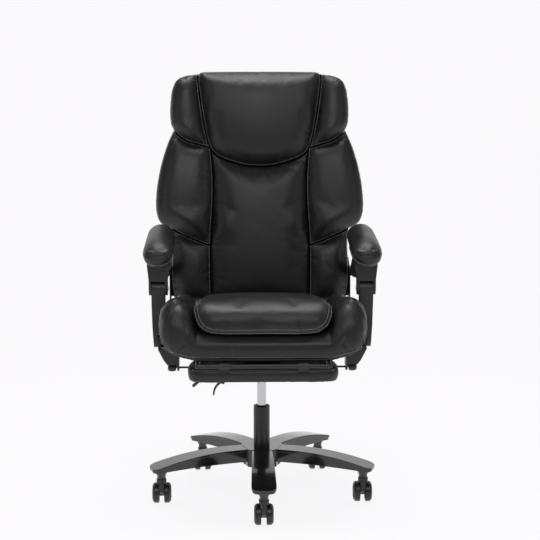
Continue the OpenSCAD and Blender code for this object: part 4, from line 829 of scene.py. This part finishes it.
def seat_point(x, y, z, shrink):
    """Places on the seat's wall, drawn in by two insets: at the sides and at the front."""
    wide, deep = shrink
    ahead = np.where(y < SEAT_MIDDLE, deep, deep * 0.3)
    return np.column_stack([x * (1 - wide / SEAT_HALF),
                            SEAT_MIDDLE + (y - SEAT_MIDDLE) * (1 - ahead / SEAT_HALF_DEPTH), z])


# Mitre seams of the front roll, in X and Z, their depth, and the Y in front of which the seat
# form has gathers and mitres
MITRE = [np.array([(s * 0.196, 0.566), (s * 0.230, 0.528), (s * 0.264, 0.494)]) for s in (-1, 1)]
MITRE_DEPTH = 0.0030
FRONT_ZONE = -0.2
# Rows of the wall from the hem to the seam, as shares, and their number from there to the top
HEM_ROW_SHARES = (0.0, 0.2, 0.45, 0.7, 0.88, 0.965)
SHOULDER_ROWS = 20
# Spacing of the points of the seat form, along its outline and inside it
SEAT_SPACING = (0.0034, 0.0065)
# Height of the stitches over the seam, how far they stand out, and most movement of the cloth
SEAT_STITCH = (0.0055, 0.0004)
SEAT_LIMIT = 0.004


def groove(gap):
    """Depth of a mitre seam at a distance from it."""
    return MITRE_DEPTH * np.exp(-(gap / MITRE_DEPTH) ** 2)


def seat_insets(z, hem, shoulder):
    """Insets of the seat's wall at a height, at the sides and at the front."""
    low = np.clip((shoulder - z) / (shoulder - hem), 0, 1)
    return 0.034 * low ** 2.3, 0.011 * low ** 2.4


def seat_wall(curve, levels, gathered):
    """Rings of the seat's wall from its hem to its shoulder."""
    x, y = curve[:, 0], curve[:, 1]
    hem, seam, shoulder = levels
    heights = [hem + (seam - hem) * share for share in HEM_ROW_SHARES]
    heights += [seam + (shoulder - seam) * k / SHOULDER_ROWS for k in range(SHOULDER_ROWS)]
    rings = []
    for z in heights:
        wide, deep = seat_insets(z, hem, shoulder)
        pull = SEAM_GROOVE * np.exp(-((z - seam) / 0.002) ** 2)
        pull = pull + gathered(np.arange(len(curve)), np.abs(z - seam) + 0.0015)
        for line in MITRE:
            gap = line_gap(np.column_stack([x * (1 - wide / SEAT_HALF), z]), line)
            pull = pull + np.where(y < FRONT_ZONE, groove(gap), 0)
        rings.append(seat_point(x, y, z, (wide + pull, deep + pull)))
    return rings


def seat_surface(curve, shoulder, gathered):
    """Upper side of the seat form inside its shoulder: places, triangles and depths."""
    flat, faces = patch(curve, SEAT_SPACING[1])
    x, y = flat[:, 0], flat[:, 1]
    depth, index = depth_in(flat, curve)
    depth[:len(curve)] = 0
    out = curve[index] - flat
    size = np.maximum(np.linalg.norm(out, axis=1), 1e-6)
    ahead = np.clip(-out[:, 1] / size, 0, 1) ** 2
    far, _ = Swell(curve, 0.02).at(flat, np.maximum(depth, 0))
    span = 0.048 + (0.042 * smooth(np.abs(x), 0.13, 0.25) - 0.006) * ahead
    rise = np.sqrt(1 - (1 - np.clip(far / span, 0, 1)) ** 2)
    blend = smooth(depth, 0.0, 0.06)
    low = shoulder[index] * (1 - blend) + seat_levels(x, y)[2] * blend
    z = low + (seat_top(x, y) - low) * rise
    z = z + 0.0005 * np.sin(x * 90 + 1.0) * np.sin(y * 61 + 2.0) * smooth(depth, 0.01, 0.05)
    z = z - gathered(index, np.maximum(depth, 0) + 0.03)
    for line in MITRE:
        gap = line_gap(np.column_stack([x, z]), line)
        z = z - np.where((y < -0.15) & (np.abs(x) > 0.19), groove(gap), 0)
    return np.column_stack([x, y, z]), faces, np.maximum(depth, 0)


def seat_form():
    """Seat shell with its front roll, side bolsters and the trough of the top pad."""
    curve = turned(trail(SEAT_LINE, True), SEAT_SPACING[0])
    x, y = curve[:, 0], curve[:, 1]
    length = np.linalg.norm(curve - np.roll(curve, 1, 0), axis=1).sum()
    run = np.arange(len(curve)) * length / len(curve)
    front_only = tightness(curve) * (y < FRONT_ZONE)
    folds = pleats(np.random.default_rng(31), len(curve), length, front_only, 36)
    hem, seam, shoulder = seat_levels(x, y)

    def gathered(index, depth):
        return gather(folds, length, run[index], depth)

    rings = seat_wall(curve, (hem, seam, shoulder), gathered)
    points, faces, depth = seat_surface(curve, shoulder, gathered)

    def close(front):
        declare(skin("seat_form", rings, front, faces), "seat", ["seat_cushion"])
        level = seam + SEAT_STITCH[0]
        wide, deep = seat_insets(level, hem, shoulder)
        path = seat_point(x, y, level, (wide - SEAT_STITCH[1], deep - SEAT_STITCH[1]))
        away = np.column_stack([-inward(curve), np.zeros(len(curve))])
        stitches("seat_form_stitch", path, away, "seat")

    cover(points, faces, depth, SEAT_LIMIT, close)


seat_form()

# Radius of the bend of the top pad, and the place and height at which it begins
PAD_BEND = 0.060
BEND_FLATTEN = 0.88
PAD_BEND_AT = (-0.208, 0.5535)


def on_seat(x, u, h):
    """Seat pad: u runs from its front lower edge up over the bend and back along the seat."""
    arc = PAD_BEND * math.pi / 2
    angle = np.clip(u / PAD_BEND, 0, math.pi / 2)
    rest = np.maximum(u - arc, 0)
    y = PAD_BEND_AT[0] - (PAD_BEND + h) * np.cos(angle) + rest
    z = PAD_BEND_AT[1] + (PAD_BEND * BEND_FLATTEN + h) * np.sin(angle) + np.minimum(u, 0)
    return np.column_stack([x, y, z - SEAT_FALL * np.maximum(y + 0.235, 0)])


def pad_shape(points, height):
    """The top pad is thinner where it hangs over the front."""
    front = 1 - smooth(points[:, 1], 30, 120)
    return height * (1 - 0.24 * front)


pad_line = trail(both([(0, 0), (125, 0.5), (161, 6), (186, 23), (199, 52), (203.5, 105),
                       (203, 300), (200, 425), (190, 450), (165, 456), (0, 458)]), True)
cushion("seat_pad", ["seat_top_pad"], "seat", pad_line, on_seat,
        [(24, -26), (10, -20), (3, -10), (0, 0), (0, 4), (0.5, 8)], 30, 54, dome=8, seed=41,
        gathers=60, stitch=(0.004, 0.012), shape=pad_shape)


# Footrest and arm pads
PANEL_UNDERSIDE = 0.4537


def under_panel(x, y, h):
    """The footrest pad hangs under its panel, soft side down."""
    return np.column_stack([x, y, PANEL_UNDERSIDE - h])


foot_line = trail(both([(0, -289.5), (150, -288.5), (196, -282), (215, -263), (219, -230),
                        (218, -180), (208, -150), (180, -138), (0, -136)]), True)
cushion("foot_pad", ["footrest_pad"], "footrest_flap", foot_line, under_panel,
        [(7, 0.2), (2, 6), (0, 14), (0.5, 23), (3, 33)], 9.5, 30, dome=1.5, seed=53, gathers=26)

# Slope of the arm pads, the place of their undersides over the posts, and the length of their
# rounded front in millimetres
ARM_SLOPE = math.radians(7.0)
ARM_AT = (0.3064, -0.120, 0.744)
NOSE_LENGTH = 92
arm_line = trail(both([(0, -90), (20, -88), (35, -76), (43, -50), (44, 10), (43, 120), (40, 192),
                       (30, 214), (0, 221)]), True)


def nose(points, height):
    """The arm pad's front end comes down like a ball."""
    along = np.clip(-points[:, 1], 0, NOSE_LENGTH) / NOSE_LENGTH
    return height * np.sqrt(1 - 0.45 * along ** 2)


def arm_place(sign):
    """Placing function of the left (1) or right (-1) arm pad."""
    def place(x, u, h):
        return np.column_stack([sign * ARM_AT[0] + x,
                                ARM_AT[1] + u * math.cos(ARM_SLOPE) - h * math.sin(ARM_SLOPE),
                                ARM_AT[2] + u * math.sin(ARM_SLOPE) + h * math.cos(ARM_SLOPE)])
    return place


for sign, side_name in ((1, "left"), (-1, "right")):
    tag = side_name[0]
    cushion("arm_cushion_" + tag, ["arm_pad_" + tag], "arm_" + side_name, arm_line,
            arm_place(sign), [(26, 0.4), (19, 3.5), (12, 9), (6, 17), (2, 27), (0.4, 37)],
            33, 42, dome=8, seed=61, gathers=8, fill=0.85, stitch=(), wall_stitch=(4, 10),
            wall_rise=15, shape=nose, limit=0.0015)


# Each is then closed into its cushion.
shapes = settle()
for (*_, close), front in zip(COVERS, shapes):
    close(front)


# Lights and stage
def lamp(name, at, target, size, power):
    """Area lamp that points at a target."""
    data = bpy.data.lights.new(name, "AREA")
    data.shape = "RECTANGLE"
    data.size, data.size_y = size
    data.energy = power
    thing = bpy.data.objects.new(name, data)
    thing.location = at
    aim = np.array(target) - np.array(at)
    flat = math.hypot(aim[0], aim[1])
    thing.rotation_euler = (math.atan2(flat, -aim[2]), 0, math.atan2(-aim[0], aim[1]))
    bpy.context.collection.objects.link(thing)


# Name, place, target, size and watts of each lamp
lamp("key", (0.0, 0.25, 3.6), (0, 0.05, 0.8), (2.6, 1.5), 78)
lamp("front_box", (0.0, -2.9, 2.7), (0, 0, 0.8), (2.6, 1.2), 34)
lamp("left_box", (-2.9, -1.3, 1.6), (0, 0.1, 0.9), (0.6, 1.8), 7)
lamp("right_box", (2.9, -1.3, 1.6), (0, 0.1, 0.9), (0.6, 1.8), 7)

# The backdrop is a floor that bends up into a wall behind the chair.
FLOOR_FRONT = -6.0
FLOOR_BACK = 2.2
WALL_BEND = 1.2
BEND_STEPS = 12
WALL_TOP = 6.0
STAGE_HALF = 7.0
PAPER = (0.80, 0.79, 0.82, 1.0)
PAPER_GLOW = (1.0, 0.985, 1.0, 1.0)
GLOW_SHARE = 0.9
# Strength of the world's white light, that of its reflections, and its colour to the camera
WHITE = (1.0, 1.0, 1.0, 1.0)
WORLD_LIGHT = 0.36
WORLD_REFLECTION = 0.08
WORLD_SEEN = (0.955, 0.945, 0.955, 1.0)


def mix(tree, share, first, second):
    """Mix of two shaders; share is how much of the second shows."""
    node = add(tree, "ShaderNodeMixShader", links=[(0, share), (1, first), (2, second)])
    return node.outputs[0]


def paper():
    """White paper that glows for camera, mirror and glass rays, and is clear from behind."""
    material = bpy.data.materials.new("paper")
    material.use_nodes = True
    tree = material.node_tree
    tree.nodes.clear()
    output = tree.nodes.new("ShaderNodeOutputMaterial")
    diffuse = add(tree, "ShaderNodeBsdfDiffuse", i_Color=PAPER)
    glow = add(tree, "ShaderNodeEmission", i_Color=PAPER_GLOW, i_Strength=1.0)
    clear = tree.nodes.new("ShaderNodeBsdfTransparent")
    facing = tree.nodes.new("ShaderNodeNewGeometry")
    rays = tree.nodes.new("ShaderNodeLightPath").outputs
    seen = math_node(tree, "MAXIMUM", rays["Is Camera Ray"], rays["Is Glossy Ray"])
    seen = math_node(tree, "MAXIMUM", seen, rays["Is Transmission Ray"])
    share = math_node(tree, "MULTIPLY", seen, GLOW_SHARE)
    front = mix(tree, share, diffuse.outputs[0], glow.outputs[0])
    both_sides = mix(tree, facing.outputs["Backfacing"], front, clear.outputs[0])
    tree.links.new(both_sides, output.inputs["Surface"])
    return material


def backdrop_mesh():
    profile = [(FLOOR_FRONT, 0.0), (FLOOR_BACK, 0.0)]
    for k in range(1, BEND_STEPS + 1):
        a = k / BEND_STEPS * math.pi / 2
        profile.append((FLOOR_BACK + WALL_BEND * math.sin(a), WALL_BEND - WALL_BEND * math.cos(a)))
    profile.append((FLOOR_BACK + WALL_BEND, WALL_TOP))
    points = [(x, y, z) for x in (-STAGE_HALF, STAGE_HALF) for y, z in profile]
    n = len(profile)
    faces = [(k, n + k, n + k + 1, k + 1) for k in range(n - 1)]
    return mesh_object("backdrop", points, faces, paper())


def world():
    """Lights the chair softly, reflects dimly and looks white to the camera."""
    data = bpy.data.worlds.new("world")
    data.use_nodes = True
    bpy.context.scene.world = data
    tree = data.node_tree
    tree.nodes.clear()
    output = tree.nodes.new("ShaderNodeOutputWorld")
    soft = add(tree, "ShaderNodeBackground", i_Color=WHITE, i_Strength=WORLD_LIGHT)
    dim = add(tree, "ShaderNodeBackground", i_Color=WHITE, i_Strength=WORLD_REFLECTION)
    white = add(tree, "ShaderNodeBackground", i_Color=WORLD_SEEN, i_Strength=1.0)
    rays = tree.nodes.new("ShaderNodeLightPath").outputs
    seen = math_node(tree, "MAXIMUM", rays["Is Camera Ray"], rays["Is Transmission Ray"])
    light = mix(tree, rays["Is Glossy Ray"], soft.outputs[0], dim.outputs[0])
    tree.links.new(mix(tree, seen, light, white.outputs[0]), output.inputs["Surface"])


backdrop = backdrop_mesh()
world()
bpy.context.scene.view_settings.view_transform = "Standard"
